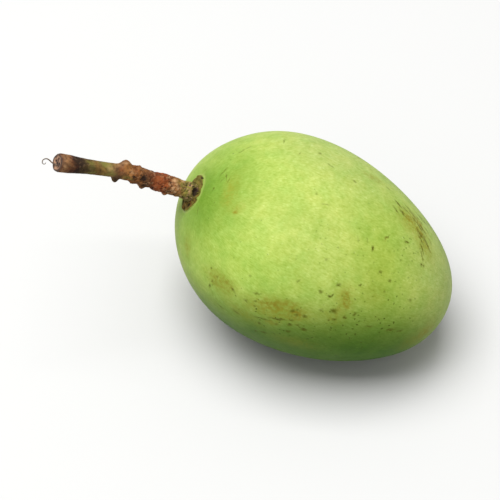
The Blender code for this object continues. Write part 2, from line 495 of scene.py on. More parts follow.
@dataclass(frozen=True)
class PhotoView:
    """The line of sight of the photograph, and the camera that looks along it.

    Pixels are those of the photograph, from its upper left corner.
    """

    azimuth: float = math.radians(25.6)
    elevation: float = math.radians(50.0)
    distance: float = 0.9
    metres_per_pixel: float = 0.486 * MM
    fruit_pixel: Pixel = (251.1, 147.5)
    aim_pixel: Pixel = (205.0, 149.0)
    picture_width: int = 500
    enlarged: float = 1.34
    sensor: float = 36.0
    middle: Vector = field(default_factory=lambda: sum(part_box("fruit"), Vector()) / 2)

    @property
    def back(self) -> Vector:
        """The way from the fruit to the camera."""
        flat = math.cos(self.elevation)
        return Vector(
            (math.sin(self.azimuth) * flat, -math.cos(self.azimuth) * flat, math.sin(self.elevation))
        )

    @property
    def right(self) -> Vector:
        """The way to the right in the picture."""
        return Vector((math.cos(self.azimuth), math.sin(self.azimuth), 0.0))

    @property
    def up(self) -> Vector:
        """The way up in the picture."""
        return self.back.cross(self.right)

    @property
    def eye(self) -> Vector:
        """The place of the camera."""
        return self.middle + self.distance * self.back

    def at(self, pixel: Pixel, through: Vector | None = None) -> Vector:
        """Finds the point that a pixel shows.

        Args:
            pixel: The pixel, across and down.
            through: A point at the same depth as the one wanted, or None for the fruit's middle.

        Returns:
            The point, in the row frame.
        """
        across = (pixel[0] - self.fruit_pixel[0]) * self.metres_per_pixel
        down = (pixel[1] - self.fruit_pixel[1]) * self.metres_per_pixel
        flat = self.middle + across * self.right - down * self.up
        if through is None:
            return flat
        ray = flat - self.eye
        return self.eye + ray * ((through - self.eye).dot(self.back) / ray.dot(self.back))

    def hit(self, tree: BVHTree, pixel: Pixel) -> tuple[Vector, Vector]:
        """Finds what a pixel shows of a mesh.

        Args:
            tree: The mesh.
            pixel: The pixel, across and down.

        Returns:
            The point and the outward normal there.

        Raises:
            ValueError: If the pixel doesn't show the mesh.
        """
        point, normal, _, _ = tree.ray_cast(self.eye, (self.at(pixel) - self.eye).normalized())
        if point is None:
            raise ValueError(f"pixel {pixel} doesn't show the mesh")
        return point, normal

    def add_camera(self) -> None:
        """Adds the camera, which frames the fruit and its stem."""
        data = bpy.data.cameras.new("camera")
        data.sensor_width = self.sensor
        width = self.picture_width * self.metres_per_pixel / self.enlarged
        data.lens = self.sensor * self.distance / width
        camera = bpy.data.objects.new("camera", data)
        back = (self.eye - self.at(self.aim_pixel)).normalized()
        right = self.up.cross(back).normalized()
        turn = Matrix((right, back.cross(right), back)).transposed().to_4x4()
        camera.matrix_world = Matrix.Translation(self.eye) @ turn
        bpy.context.scene.collection.objects.link(camera)
        bpy.context.scene.camera = camera


class Effect(Enum):
    """The shader effects that several finishes share."""

    MOTTLE = "mottle"
    SPECKS = "specks"
    MARK = "mark"
    GRAIN = "grain"


@dataclass(frozen=True)
class Clouds:
    """How a mottle looks: the size of its clouds in mm, its contrast and its seed."""

    size: float
    contrast: float
    seed: float


@dataclass(frozen=True)
class Dots:
    """How scattered dots look: their spacing in mm, their radius in spacings, how many stay."""

    spacing: float
    radius: float
    kept: float
    strength: float = 1.0


@dataclass(frozen=True)
class Grain:
    """How fine relief looks: the size of its grain in mm, how deep its pores are, its depth in mm."""

    size: float
    pores: float
    depth: float


class Graph:
    """Adds nodes to the tree of a material or of a shared effect."""

    MIX_FIRST = 6
    MIX_SECOND = 7
    MIX_RESULT = 2

    def __init__(self, tree: bpy.types.NodeTree) -> None:
        """Works on the given tree."""
        self.tree = tree

    def node(self, kind: str, inputs: dict[str | int, object], **settings: object) -> Node:
        """Adds one node.

        Args:
            kind: The node's type.
            inputs: Values or outputs of other nodes, by input name or number.
            **settings: The node's own settings.

        Returns:
            The node.
        """
        node = self.tree.nodes.new(kind)
        for name, value in settings.items():
            setattr(node, name, value)
        for key, value in inputs.items():
            if isinstance(value, Socket):
                self.link(value, node.inputs[key])
            else:
                node.inputs[key].default_value = value
        return node

    def link(self, output: Socket, target: Socket) -> None:
        """Links an output to an input."""
        self.tree.links.new(output, target)

    def math(self, operation: str, first: object, second: object, clamp: bool = False) -> Socket:
        """Adds a Math node and returns its output."""
        node = self.node("ShaderNodeMath", {0: first, 1: second}, operation=operation, use_clamp=clamp)
        return node.outputs[0]

    def vector(self, operation: str, first: object, second: object) -> Socket:
        """Adds a Vector Math node and returns its vector output."""
        node = self.node("ShaderNodeVectorMath", {0: first, 1: second}, operation=operation)
        return node.outputs["Vector"]

    def fade(self, value: Socket, low: object, high: object, start: float = 0.0, end: float = 1.0) -> Socket:
        """Adds a smooth change of a number.

        Args:
            value: The value that it follows.
            low: The value at which it starts.
            high: The value at which it ends.
            start: The number before it.
            end: The number after it.

        Returns:
            The number.
        """
        inputs = {"Value": value, "From Min": low, "From Max": high, "To Min": start, "To Max": end}
        node = self.node("ShaderNodeMapRange", inputs, interpolation_type="SMOOTHSTEP", clamp=False)
        return node.outputs["Result"]

    def mix(self, share: object, first: object, second: object, blend: str = "MIX") -> Socket:
        """Mixes two colours.

        Args:
            share: How much of the second colour shows.
            first: The first colour.
            second: The second colour.
            blend: The way to blend them.

        Returns:
            The mixed colour.
        """
        both = [value if isinstance(value, Socket) else (*value, 1.0) for value in (first, second)]
        inputs = {0: share, self.MIX_FIRST: both[0], self.MIX_SECOND: both[1]}
        node = self.node("ShaderNodeMix", inputs, data_type="RGBA", blend_type=blend)
        return node.outputs[self.MIX_RESULT]

    def attribute(self, name: str, output: str = "Fac") -> Socket:
        """Returns the number or, as Vector, the vector that a mesh stores at each point."""
        return self.node("ShaderNodeAttribute", {}, attribute_name=name).outputs[output]

    def place(self) -> Socket:
        """Returns the place on the object, in metres."""
        return self.node("ShaderNodeTexCoord", {}).outputs["Object"]

    def effect(self, effect: Effect, **inputs: object) -> Socket:
        """Places a shared effect, with inputs by their names in lower case, and returns its output."""
        named = {key.capitalize(): value for key, value in inputs.items()}
        return self.node("ShaderNodeGroup", named, node_tree=EffectShelf.get(effect)).outputs[0]

    def mottle(self, place: Socket, clouds: Clouds) -> Socket:
        """Places the mottle effect and returns its share."""
        size = clouds.size * MM
        return self.effect(Effect.MOTTLE, place=place, size=size, contrast=clouds.contrast, seed=clouds.seed)

    def specks(self, place: Socket, dots: Dots) -> Socket:
        """Places the specks effect and returns its mask at full strength."""
        spacing = dots.spacing * MM
        return self.effect(Effect.SPECKS, place=place, spacing=spacing, radius=dots.radius, kept=dots.kept)

    def grain(self, place: Socket, grain: Grain) -> Socket:
        """Places the grain effect and returns its height."""
        return self.effect(Effect.GRAIN, place=place, size=grain.size * MM, pores=grain.pores)

    def oval(self, place: Socket, where: Where, half: Sequence[float], softness: float) -> Socket:
        """Places the mark effect.

        Args:
            place: The place on the object.
            where: The mark's middle, and the turn of its own axes.
            half: Half its length, width and depth, in mm.
            softness: How soft its edge is.

        Returns:
            Its mask.
        """
        centre, turn = where
        sizes = {"centre": centre, "turn": turn.to_euler(), "half": [size * MM for size in half]}
        return self.effect(Effect.MARK, place=place, softness=softness, **sizes)


class EffectShelf:
    """Builds each shared effect once, as a shader node group with named sockets."""

    MIDDLE = 0.5
    MOTTLE_NOISE = {"Detail": 3.0, "Roughness": 0.55}
    GRAIN_NOISE = {"Detail": 4.0, "Roughness": 0.6}
    SPECK_CORE = 0.5
    PORE_WIDTH = 0.35
    built: dict[Effect, bpy.types.NodeTree] = {}

    @classmethod
    def get(cls, effect: Effect) -> bpy.types.NodeTree:
        """Finds an effect's node group, and builds it the first time.

        Args:
            effect: The effect.

        Returns:
            Its node group.
        """
        if effect not in cls.built:
            makers = {
                Effect.MOTTLE: cls._mottle,
                Effect.SPECKS: cls._specks,
                Effect.MARK: cls._mark,
                Effect.GRAIN: cls._grain,
            }
            cls.built[effect] = makers[effect]()
        return cls.built[effect]

    @staticmethod
    def _start(
        effect: Effect, vectors: Sequence[str], numbers: Sequence[str], output: str
    ) -> tuple[Graph, dict[str, Socket], Socket]:
        """Starts a group.

        Args:
            effect: The effect that the group makes.
            vectors: The names of its inputs that are vectors.
            numbers: The names of its inputs that are numbers.
            output: The name of its one output.

        Returns:
            The group's graph, its inputs by name, and the socket that its result goes to.
        """
        tree = bpy.data.node_groups.new(effect.value, "ShaderNodeTree")
        for name in vectors:
            tree.interface.new_socket(name=name, in_out="INPUT", socket_type="NodeSocketVector")
        for name in numbers:
            tree.interface.new_socket(name=name, in_out="INPUT", socket_type="NodeSocketFloat")
        tree.interface.new_socket(name=output, in_out="OUTPUT", socket_type="NodeSocketFloat")
        given = tree.nodes.new("NodeGroupInput")
        result = tree.nodes.new("NodeGroupOutput")
        return Graph(tree), {name: given.outputs[name] for name in (*vectors, *numbers)}, result.inputs[0]

    @classmethod
    def _mottle(cls) -> bpy.types.NodeTree:
        """Makes soft cloudy variation round 0.5, with clouds of a given size in metres.

        Returns:
            The node group.
        """
        graph, given, result = cls._start(Effect.MOTTLE, ["Place"], ["Size", "Contrast", "Seed"], "Share")
        scale = graph.math("DIVIDE", 1.0, given["Size"])
        inputs = {"Vector": given["Place"], "W": given["Seed"], "Scale": scale, **cls.MOTTLE_NOISE}
        clouds = graph.node("ShaderNodeTexNoise", inputs, noise_dimensions="4D").outputs["Fac"]
        spread = graph.math("MULTIPLY", graph.math("SUBTRACT", clouds, cls.MIDDLE), given["Contrast"])
        graph.link(graph.math("ADD", spread, cls.MIDDLE, clamp=True), result)
        return graph.tree

    @classmethod
    def _specks(cls) -> bpy.types.NodeTree:
        """Makes scattered round specks: their spacing in metres, their size and how many stay.

        Returns:
            The node group.
        """
        graph, given, result = cls._start(Effect.SPECKS, ["Place"], ["Spacing", "Radius", "Kept"], "Mask")
        scale = graph.math("DIVIDE", 1.0, given["Spacing"])
        inputs = {"Vector": given["Place"], "Scale": scale}
        cells = graph.node("ShaderNodeTexVoronoi", inputs, voronoi_dimensions="3D")
        core = graph.math("MULTIPLY", given["Radius"], cls.SPECK_CORE)
        inside = graph.fade(cells.outputs["Distance"], given["Radius"], core)
        pick = graph.node("ShaderNodeSeparateColor", {"Color": cells.outputs["Color"]}).outputs["Red"]
        kept = graph.math("LESS_THAN", pick, given["Kept"])
        graph.link(graph.math("MULTIPLY", inside, kept), result)
        return graph.tree

    @classmethod
    def _mark(cls) -> bpy.types.NodeTree:
        """Makes one oval mark at a place, 1 in its middle and 0 outside it.

        Returns:
            The node group.
        """
        vectors = ["Place", "Centre", "Turn", "Half"]
        graph, given, result = cls._start(Effect.MARK, vectors, ["Softness"], "Mask")
        inputs = {"Vector": given["Place"], "Location": given["Centre"]}
        inputs |= {"Rotation": given["Turn"], "Scale": given["Half"]}
        local = graph.node("ShaderNodeMapping", inputs, vector_type="TEXTURE").outputs["Vector"]
        inside = graph.node("ShaderNodeTexGradient", {"Vector": local}, gradient_type="SPHERICAL")
        graph.link(graph.fade(inside.outputs["Fac"], 0.0, given["Softness"]), result)
        return graph.tree

    @classmethod
    def _grain(cls) -> bpy.types.NodeTree:
        """Makes fine surface height: noise of a given size in metres, with pores sunk into it.

        Returns:
            The node group.
        """
        graph, given, result = cls._start(Effect.GRAIN, ["Place"], ["Size", "Pores"], "Height")
        scale = graph.math("DIVIDE", 1.0, given["Size"])
        inputs = {"Vector": given["Place"], "Scale": scale}
        rough = graph.node("ShaderNodeTexNoise", inputs | cls.GRAIN_NOISE).outputs["Fac"]
        cells = graph.node("ShaderNodeTexVoronoi", inputs).outputs["Distance"]
        pore = graph.math("MULTIPLY", graph.fade(cells, cls.PORE_WIDTH, 0.0), given["Pores"])
        graph.link(graph.math("SUBTRACT", rough, pore), result)
        return graph.tree


class MarkKind(Enum):
    """The kinds of blemish on the skin, and of patch on the cork and the bark."""

    RUSSET = "russet"
    STAIN = "stain"
    SPECK = "speck"
    SPECKLE = "speckle"
    SCRATCH = "scratch"
    DARK = "dark"
    TAN = "tan"
    OLIVE = "olive"
    RED = "red"


@dataclass(frozen=True)
class MarkLook:
    """How a kind of blemish looks: its colour, how soft its edge is, how far grain breaks it up."""

    colour: Colour
    softness: float
    broken: float


MARK_LOOKS = {
    MarkKind.STAIN: MarkLook((0.200, 0.190, 0.014), 1.0, 0.55),
    MarkKind.RUSSET: MarkLook((0.180, 0.154, 0.012), 1.0, 0.7),
    MarkKind.SPECKLE: MarkLook((0.048, 0.068, 0.002), 1.0, 0.0),
    MarkKind.SCRATCH: MarkLook((0.062, 0.064, 0.002), 1.0, 0.4),
    MarkKind.SPECK: MarkLook((0.062, 0.064, 0.001), 1.0, 0.0),
    MarkKind.OLIVE: MarkLook((0.145, 0.135, 0.024), 1.0, 0.7),
    MarkKind.RED: MarkLook((0.190, 0.048, 0.010), 1.0, 0.8),
    MarkKind.TAN: MarkLook((0.400, 0.230, 0.110), 1.0, 0.7),
    MarkKind.DARK: MarkLook((0.023, 0.011, 0.003), 1.0, 0.4),
}


def tangent_frame(along: Vector, normal: Vector) -> Matrix:
    """Returns the turn whose X lies along a surface and whose Z is its normal."""
    across = normal.cross(along).normalized()
    return Matrix((across.cross(normal), across, normal)).transposed()


def side_frame(tree: BVHTree, view: PhotoView, angles: tuple[float, float], turn: float = 0.0) -> Where:
    """Finds a place on the fruit by its angles.

    Args:
        tree: The fruit's mesh.
        view: The photograph's line of sight.
        angles: The slant and clock angle of the place, in degrees.
        turn: How far what lies there is turned from the fruit's length, in degrees.

    Returns:
        The place on the mesh, and the turn of axes there.
    """
    slant, clock = (math.radians(angle) for angle in angles)
    way = Vector(FruitForm().tilted(FruitForm.direction(slant, clock)))
    point, normal, _, _ = tree.ray_cast(view.middle + RAY_START * way, -way)
    along = Vector((1.0, 0.0, 0.0))
    side = along.cross(normal).normalized()
    angle = math.radians(turn)
    return point, tangent_frame(math.cos(angle) * along + math.sin(angle) * side, normal)


@dataclass(frozen=True)
class Mark:
    """One blemish that the photograph shows, by its pixel, with its size over the skin in mm."""

    kind: MarkKind
    pixel: Pixel
    length: float
    width: float
    turn: float
    strength: float

    @classmethod
    def rows(cls, kind: MarkKind, rows: Sequence[Sequence[float]]) -> list["Mark"]:
        """Returns marks of a kind. A row starts with its pixel's two numbers, across and down."""
        return [cls(kind, (across, down), *sizes) for across, down, *sizes in rows]

    def frame_on(self, tree: BVHTree, view: PhotoView) -> Where:
        """Finds the mark's place.

        Args:
            tree: The mesh that it lies on.
            view: The photograph's line of sight.

        Returns:
            The place on the mesh, and the turn of the mark's own axes.
        """
        point, normal = view.hit(tree, self.pixel)
        angle = math.radians(self.turn)
        along = math.cos(angle) * view.right + math.sin(angle) * view.up
        return point, tangent_frame(along, normal)


@dataclass(frozen=True)
class HiddenMark:
    """One blemish on a side that the photograph doesn't show, by its angles on the fruit in degrees."""

    kind: MarkKind
    slant: float
    clock: float
    length: float
    width: float
    turn: float
    strength: float

    @classmethod
    def rows(cls, kind: MarkKind, rows: Sequence[Sequence[float]]) -> list["HiddenMark"]:
        """Returns marks of a kind, from rows of their values in order."""
        return [cls(kind, *row) for row in rows]

    def frame_on(self, tree: BVHTree, view: PhotoView) -> Where:
        """Returns the mark's place on the mesh, and the turn of its own axes."""
        return side_frame(tree, view, (self.slant, self.clock), self.turn)


# A row gives a blemish's pixel, across and down, its length and width in mm, its turn in degrees
# and its strength.
SEEN_MARKS = (
    *Mark.rows(MarkKind.STAIN, (
        (224, 193, 24, 9, -6, 0.75), (183, 173, 14, 8, -28, 0.65), (190, 106, 6, 13, -15, 0.55),
        (195, 118, 6, 4, 20, 0.45), (325, 128, 14, 9, -55, 0.80), (334, 142, 14, 8, -72, 0.75),
        (276, 186, 7, 10, 0, 0.55), (158, 146, 5, 9, 0, 0.50), (268, 198, 9, 7, 0, 0.45),
        (200, 196, 14, 6, -35, 0.40), (298, 183, 12, 8, 0, 0.25), (240, 218, 16, 7, -18, 0.30),
        (332, 213, 16, 8, 20, 0.50),
    )),
    *Mark.rows(MarkKind.RUSSET, (
        (222, 189.5, 10, 3.6, -3, 0.65), (234, 190, 6, 3.4, -10, 0.60), (239, 197, 6, 4.4, -20, 0.95),
        (221, 203, 6, 2.6, 0, 0.55), (178, 171, 6, 4, -30, 0.35), (189, 174, 6, 3, -40, 0.40),
        (276.5, 186, 2.6, 7, 0, 0.75), (270, 193, 3.2, 2.2, 60, 0.45), (322.5, 124, 5, 2.4, -50, 0.65),
        (331, 129, 8, 3, -52, 0.80), (333, 138, 6, 2.6, -72, 0.80), (306, 141, 2.4, 1.2, 40, 0.55),
        (336, 210, 8, 3.6, -10, 0.60), (193.5, 121, 2.6, 1.7, 60, 0.85),
    )),
    *Mark.rows(MarkKind.SCRATCH, (
        (185, 91, 4.2, 0.55, 66, 0.75), (187.5, 94, 3.4, 0.55, 108, 0.75), (189, 97, 2.4, 0.5, 80, 0.65),
        (184, 97, 2.0, 0.5, 60, 0.55), (199, 75, 2.8, 0.6, 50, 0.50), (204, 72.5, 2.4, 0.6, 55, 0.45),
        (242, 77, 2.0, 0.6, 70, 0.45), (166, 119.5, 3.0, 0.55, -75, 0.70), (172, 89, 2.0, 0.5, 70, 0.50),
        (214, 200.2, 6.0, 0.75, -2, 0.80), (225, 200.4, 6.0, 0.95, 1, 0.95),
        (210.5, 181.5, 2.8, 0.9, 0, 0.75), (202, 187, 1.8, 0.9, -45, 0.75),
        (192.5, 179, 2.4, 0.9, -45, 0.75), (183, 191, 2.6, 0.9, -30, 0.60),
        (195, 195.5, 3.6, 1.2, -30, 0.55), (241, 172.3, 1.9, 0.8, 40, 0.60), (265, 86, 2.6, 0.7, -50, 0.70),
        (261.5, 115, 3.0, 0.6, 3, 0.50), (316, 115, 4.2, 0.8, -62, 0.95), (313.8, 119, 3.0, 0.8, -76, 0.95),
        (318.5, 120.6, 2.6, 0.7, -60, 0.85), (327, 122.5, 5.0, 0.5, -50, 0.70),
        (330, 125, 5.4, 0.5, -52, 0.75), (327, 128, 4.0, 0.5, -48, 0.60), (333.5, 130, 3.6, 0.6, -60, 0.75),
        (331, 136, 4.6, 0.8, -76, 0.80), (333, 139, 3.4, 0.8, -66, 0.90), (336.3, 143, 5.6, 0.9, -76, 0.95),
        (339.5, 143, 2.8, 0.6, -78, 0.70), (333.3, 153.5, 5.0, 0.6, -89, 0.80),
        (319, 122, 3.2, 0.8, -46, 0.95), (323.5, 118.3, 5.0, 0.7, -38, 0.80),
        (321.5, 119.5, 3.6, 0.7, -42, 0.80), (326.2, 122.5, 4.4, 0.7, -56, 0.95),
        (328.5, 127.5, 4.4, 0.7, -56, 0.95), (331, 124, 5.4, 0.7, -54, 0.85),
        (334.5, 127.5, 4.6, 0.7, -56, 0.75), (331.5, 132, 5.0, 0.8, -70, 0.95),
        (334, 134, 4.4, 0.8, -66, 0.90), (337, 135, 4.0, 0.7, -64, 0.75), (332, 140.5, 5.4, 0.8, -78, 0.95),
        (334.8, 141, 3.6, 0.7, -80, 0.85), (338.7, 131, 3.6, 0.7, -62, 0.75),
        (338, 147, 3.4, 0.7, -78, 0.85), (333.4, 148.5, 4.6, 0.7, -86, 0.90),
        (307.5, 139.4, 2.8, 0.7, 36, 0.80), (292.5, 141, 2.4, 0.6, 88, 0.40),
        (285.5, 141, 2.4, 0.6, 88, 0.35), (310, 208.4, 4.2, 0.9, -4, 0.85),
        (316.5, 209.3, 3.0, 0.8, -6, 0.75), (294, 206, 2.6, 0.9, 0, 0.70),
    )),
    *Mark.rows(MarkKind.SPECK, (
        (178, 103, 1.1, 1.0, 0, 0.75), (175, 175.5, 1.3, 1.2, 0, 0.80), (176.5, 172, 1.2, 0.8, 30, 0.65),
        (180.5, 169, 1.2, 0.8, 20, 0.50), (205, 168.5, 1.0, 0.9, 0, 0.45), (209, 187.5, 1.0, 0.9, 0, 0.65),
        (208.5, 191, 1.1, 0.9, 0, 0.60), (236.5, 194.5, 1.8, 1.0, 20, 0.70),
        (239.5, 197.5, 1.4, 1.2, 0, 0.65), (240.5, 193.5, 1.1, 0.9, 0, 0.55),
        (236, 201.5, 1.5, 0.9, 10, 0.70), (246, 198.5, 1.3, 1.2, 0, 0.80),
        (245, 208.3, 2.4, 1.3, -12, 0.90), (234.5, 205, 1.9, 1.1, 0, 0.80), (240.5, 205, 1.5, 0.9, 0, 0.75),
        (233.5, 209.7, 1.7, 1.1, 20, 0.80), (212, 203.5, 1.2, 1.4, 0, 0.75),
        (209.5, 209.5, 1.3, 1.1, 0, 0.75), (215, 210.2, 2.6, 0.9, 0, 0.75), (225, 204.5, 1.2, 1.0, 0, 0.50),
        (254.5, 107, 1.0, 1.2, 0, 0.45), (308, 103, 1.4, 0.8, -10, 0.55), (296.4, 148, 0.9, 2.0, -3, 1.00),
        (322, 143, 1.9, 1.0, 0, 1.00), (332.8, 160, 1.2, 1.1, -30, 0.90), (334.6, 161, 1.0, 0.9, 0, 0.75),
        (287.4, 175.3, 1.1, 1.0, 0, 0.80), (271, 175, 1.5, 1.3, 0, 0.85), (258, 180, 1.4, 1.2, 0, 0.70),
        (264.6, 183.7, 1.4, 1.1, -40, 0.95), (266.2, 182.8, 1.4, 0.7, 35, 0.90),
        (267.5, 194.6, 2.4, 1.8, -20, 0.85), (268, 200.8, 1.4, 1.2, 0, 0.85),
        (263.7, 201.3, 1.1, 1.0, 0, 0.65), (275.6, 199.5, 1.4, 1.1, 0, 0.90),
        (283, 197, 2.0, 1.3, 35, 0.80), (258, 193.6, 1.2, 1.0, 0, 0.50), (309.4, 172, 1.1, 1.1, 0, 0.75),
        (302.6, 165.4, 1.3, 1.2, 0, 0.70), (324.4, 186.3, 1.5, 1.3, 0, 0.55),
        (305.5, 180, 1.1, 1.0, 0, 0.50), (262, 156, 1.4, 0.9, -30, 0.40),
    )),
    *Mark.rows(MarkKind.SPECKLE, (
        (226, 198, 30, 14, -8, 1.00), (276, 196, 20, 12, 0, 1.00), (305, 185, 22, 16, 0, 0.75),
        (325, 150, 14, 26, 0, 0.55), (182, 180, 16, 10, -40, 0.60), (270, 215, 40, 16, 0, 1.00),
        (275, 150, 40, 26, 0, 0.35), (235, 211, 44, 14, -20, 1.00), (300, 206, 40, 20, 10, 1.00),
        (210, 196, 26, 14, -35, 1.00),
    )),
)

CORK_PATCHES = (
    *Mark.rows(MarkKind.OLIVE, (
        (156, 107, 5, 8, 30, 0.60), (167.5, 97, 3, 5, 60, 0.60),
    )),
    *Mark.rows(MarkKind.RED, (
        (156, 116, 5, 3, 60, 0.60), (161, 112, 4, 3, 60, 0.70),
    )),
    *Mark.rows(MarkKind.DARK, (
        (165, 104.5, 2.4, 3.0, -35, 0.95), (164.6, 107.6, 2.0, 1.8, 20, 0.85),
        (163, 101, 1.8, 2.0, 0, 0.70), (169.2, 95, 1.4, 1.6, 0, 0.75), (169.4, 99.5, 1.0, 1.8, 0, 0.45),
        (159, 115.4, 2.4, 1.4, 40, 0.95), (155.9, 118, 1.4, 1.3, 60, 0.90),
        # (154.6, 113.4) is painted shade where the stem meets the scar.
        (162.2, 111.6, 1.1, 1.0, 0, 0.60), (154.6, 113.4, 2.2, 2.2, 0, 0.75),
    )),
)

BARK_PATCHES = (
    *Mark.rows(MarkKind.DARK, (
        (164.4, 104.5, 2.2, 2.6, -35, 0.95), (164, 107.4, 1.8, 1.8, 20, 0.75),
        # (154, 110) is painted shade at the stem's foot, where it meets the scar.
        (162, 106.5, 2.2, 3.0, 0, 0.40), (158, 101, 1.0, 2.2, 30, 0.50), (154, 110, 1.8, 1.4, 0, 0.60),
        (125.8, 95.7, 2.6, 1.9, 30, 1.00), (104.3, 96.2, 3.6, 2.8, 0, 1.00),
        (125.5, 101.2, 2.4, 1.3, -15, 0.80), (105.5, 88, 2.2, 2.4, 60, 0.60),
        (138, 92.8, 5.0, 1.1, -10, 0.70), (131.5, 95, 2.0, 2.4, 70, 0.60), (143, 105.5, 1.6, 1.2, 0, 0.70),
        (142, 102.5, 1.4, 1.0, 0, 0.55), (118.5, 96.5, 1.8, 1.2, -30, 0.50), (88, 88, 2.6, 1.2, -10, 0.60),
        (84, 90, 2.4, 1.4, 0, 0.60), (79, 83, 3.0, 2.4, 60, 0.60), (75.5, 83, 2.6, 3.6, -10, 0.60),
        (94, 86, 1.4, 1.0, 0, 0.45),
    )),
    *Mark.rows(MarkKind.TAN, (
        (160.4, 105.6, 1.4, 2.8, -15, 0.60), (148.5, 97, 2.0, 1.6, 0, 0.95),
        (146.5, 99.5, 1.2, 1.4, 0, 0.80), (147.5, 103, 1.4, 1.8, 30, 0.95), (151, 101, 1.2, 2.2, 20, 0.75),
        (149.5, 105.5, 1.2, 1.0, 20, 0.80), (100, 87.5, 2.2, 2.2, 0, 0.35),
        (117.5, 90.5, 2.6, 1.6, -20, 0.60), (112, 84, 3.0, 1.2, 0, 0.60), (66.4, 85.2, 1.2, 2.6, 0, 0.60),
    )),
    *Mark.rows(MarkKind.RED, (
        (138, 97, 5.4, 4.4, -20, 0.90), (134, 98, 3.0, 5.0, 0, 0.75), (142, 101, 3.4, 3.6, 0, 0.60),
        (121, 90, 2.4, 2.0, 0, 0.45), (108.5, 89, 2.6, 2.2, 0, 0.40),
    )),
    *Mark.rows(MarkKind.OLIVE, (
        (154.5, 101, 2.6, 6.0, 15, 0.75), (97, 85.5, 3.6, 2.2, 0, 0.75), (86, 83.5, 3.0, 1.6, 0, 0.85),
        (101, 92.5, 4.4, 1.6, -5, 0.80), (113, 95, 4.4, 1.8, -15, 0.70), (86, 91.5, 4.0, 1.2, -5, 0.60),
    )),
)

# A row gives a blemish's slant and clock angle in degrees, then the same as above.
HIDDEN_MARKS = (
    *HiddenMark.rows(MarkKind.SPECK, (
        (148, -40, 3.2, 2.8, 0, 1.00), (66, -5, 1.5, 1.2, 0, 0.80), (90, 38, 1.3, 1.1, 0, 0.75),
        (101, -12, 2.0, 1.3, 20, 0.80), (126, 28, 1.4, 1.2, 0, 0.75), (84, -50, 1.9, 1.4, -30, 0.80),
        (72, 62, 1.2, 1.1, 0, 0.65), (120, -70, 1.6, 1.2, 0, 0.75), (98, 70, 1.2, 1.0, 0, 0.60),
        (134, -5, 1.5, 1.1, 20, 0.70),
    )),
    *HiddenMark.rows(MarkKind.RUSSET, (
        (148, -40, 8, 7, 0, 0.65), (82, -20, 11, 5, 15, 0.65), (105, 55, 8, 4, -20, 0.50),
        (60, -75, 10, 5, 40, 0.55), (118, 12, 7, 3, 30, 0.50),
    )),
    *HiddenMark.rows(MarkKind.STAIN, (
        (82, -20, 18, 10, 15, 0.60), (95, -62, 26, 16, 0, 0.45), (118, 10, 18, 9, 30, 0.50),
    )),
    *HiddenMark.rows(MarkKind.SCRATCH, (
        (75, 20, 6.5, 0.7, 35, 0.85), (78, 24, 4.5, 0.6, 30, 0.75), (72, 23, 3.5, 0.6, 42, 0.70),
        (112, -35, 7.5, 0.7, -25, 0.80), (116, -30, 4.5, 0.6, -35, 0.70), (52, 60, 3.5, 0.6, 70, 0.65),
    )),
    *HiddenMark.rows(MarkKind.SPECKLE, (
        (88, -20, 34, 24, 0, 0.75), (120, -50, 30, 22, 0, 0.70), (60, 20, 22, 18, 0, 0.50),
        (80, -80, 34, 22, 0, 0.60),
    )),
)


class Finish:
    """What every finish shares: a material with one Principled shader, and marks on its colour.

    The marks' edges are shaken by noise, and a finer mottle breaks them up.
    """

    SHAKE_NOISE = {"Scale": 900.0, "Detail": 2.0}
    SHAKE_WIDTH = 1.4 * MM
    MARK_SPREAD = 0.85
    LEAST_DEPTH = 3.0
    BREAKS = Clouds(1.3, 3.2, 7.0)
    BREAK_GAIN = 0.3
    SPECKLES = Dots(1.7, 0.25, 0.58)

    @staticmethod
    def start(name: str) -> tuple[Material, Graph, Node]:
        """Starts a material.

        Args:
            name: The material's name.

        Returns:
            The material, its graph and its Principled shader.
        """
        material = bpy.data.materials.new(name)
        material.use_nodes = True
        return material, Graph(material.node_tree), material.node_tree.nodes["Principled BSDF"]

    @staticmethod
    def bump(graph: Graph, shader: Node, height: Socket, depth: float) -> None:
        """Feeds a height to the shader's normal, with its depth in mm."""
        node = graph.node("ShaderNodeBump", {"Height": height, "Distance": depth * MM})
        graph.link(node.outputs["Normal"], shader.inputs["Normal"])

    @classmethod
    def lay_marks(
        cls,
        graph: Graph,
        colour: Socket,
        marks: Sequence[Mark | HiddenMark],
        tree: BVHTree,
        view: PhotoView,
    ) -> tuple[Socket, Socket]:
        """Lays marks over a colour.

        Args:
            graph: The material's graph.
            colour: The colour under the marks.
            marks: The marks.
            tree: The mesh that they lie on.
            view: The photograph's line of sight.

        Returns:
            The new colour, and how far each place is covered by a mark.
        """
        place = graph.place()
        shake = graph.node("ShaderNodeTexNoise", {"Vector": place, **cls.SHAKE_NOISE})
        offset = graph.vector("SUBTRACT", shake.outputs["Color"], (0.5, 0.5, 0.5))
        shaken = graph.vector("ADD", place, graph.vector("MULTIPLY", offset, (cls.SHAKE_WIDTH,) * 3))
        breaks = graph.mottle(place, cls.BREAKS)
        dots = graph.specks(shaken, cls.SPECKLES)
        covered: object = 0.0
        for kind, look in MARK_LOOKS.items():
            chosen = [mark for mark in marks if mark.kind is kind]
            if not chosen:
                continue
            mask: object = 0.0
            for mark in chosen:
                half = (cls.MARK_SPREAD * mark.length, cls.MARK_SPREAD * mark.width)
                half = (*half, max(mark.width, cls.LEAST_DEPTH))
                oval = graph.oval(shaken, mark.frame_on(tree, view), half, look.softness)
                mask = graph.math("MAXIMUM", mask, graph.math("MULTIPLY", oval, mark.strength))
            if kind is MarkKind.SPECKLE:
                mask = graph.math("MULTIPLY", mask, dots)
            patchy = graph.fade(breaks, 0.0, 1.0, 1.0 - look.broken, 1.0 + cls.BREAK_GAIN * look.broken)
            share = graph.math("MULTIPLY", mask, patchy, clamp=True)
            colour = graph.mix(share, colour, look.colour)
            covered = graph.math("MAXIMUM", covered, share)
        return colour, covered


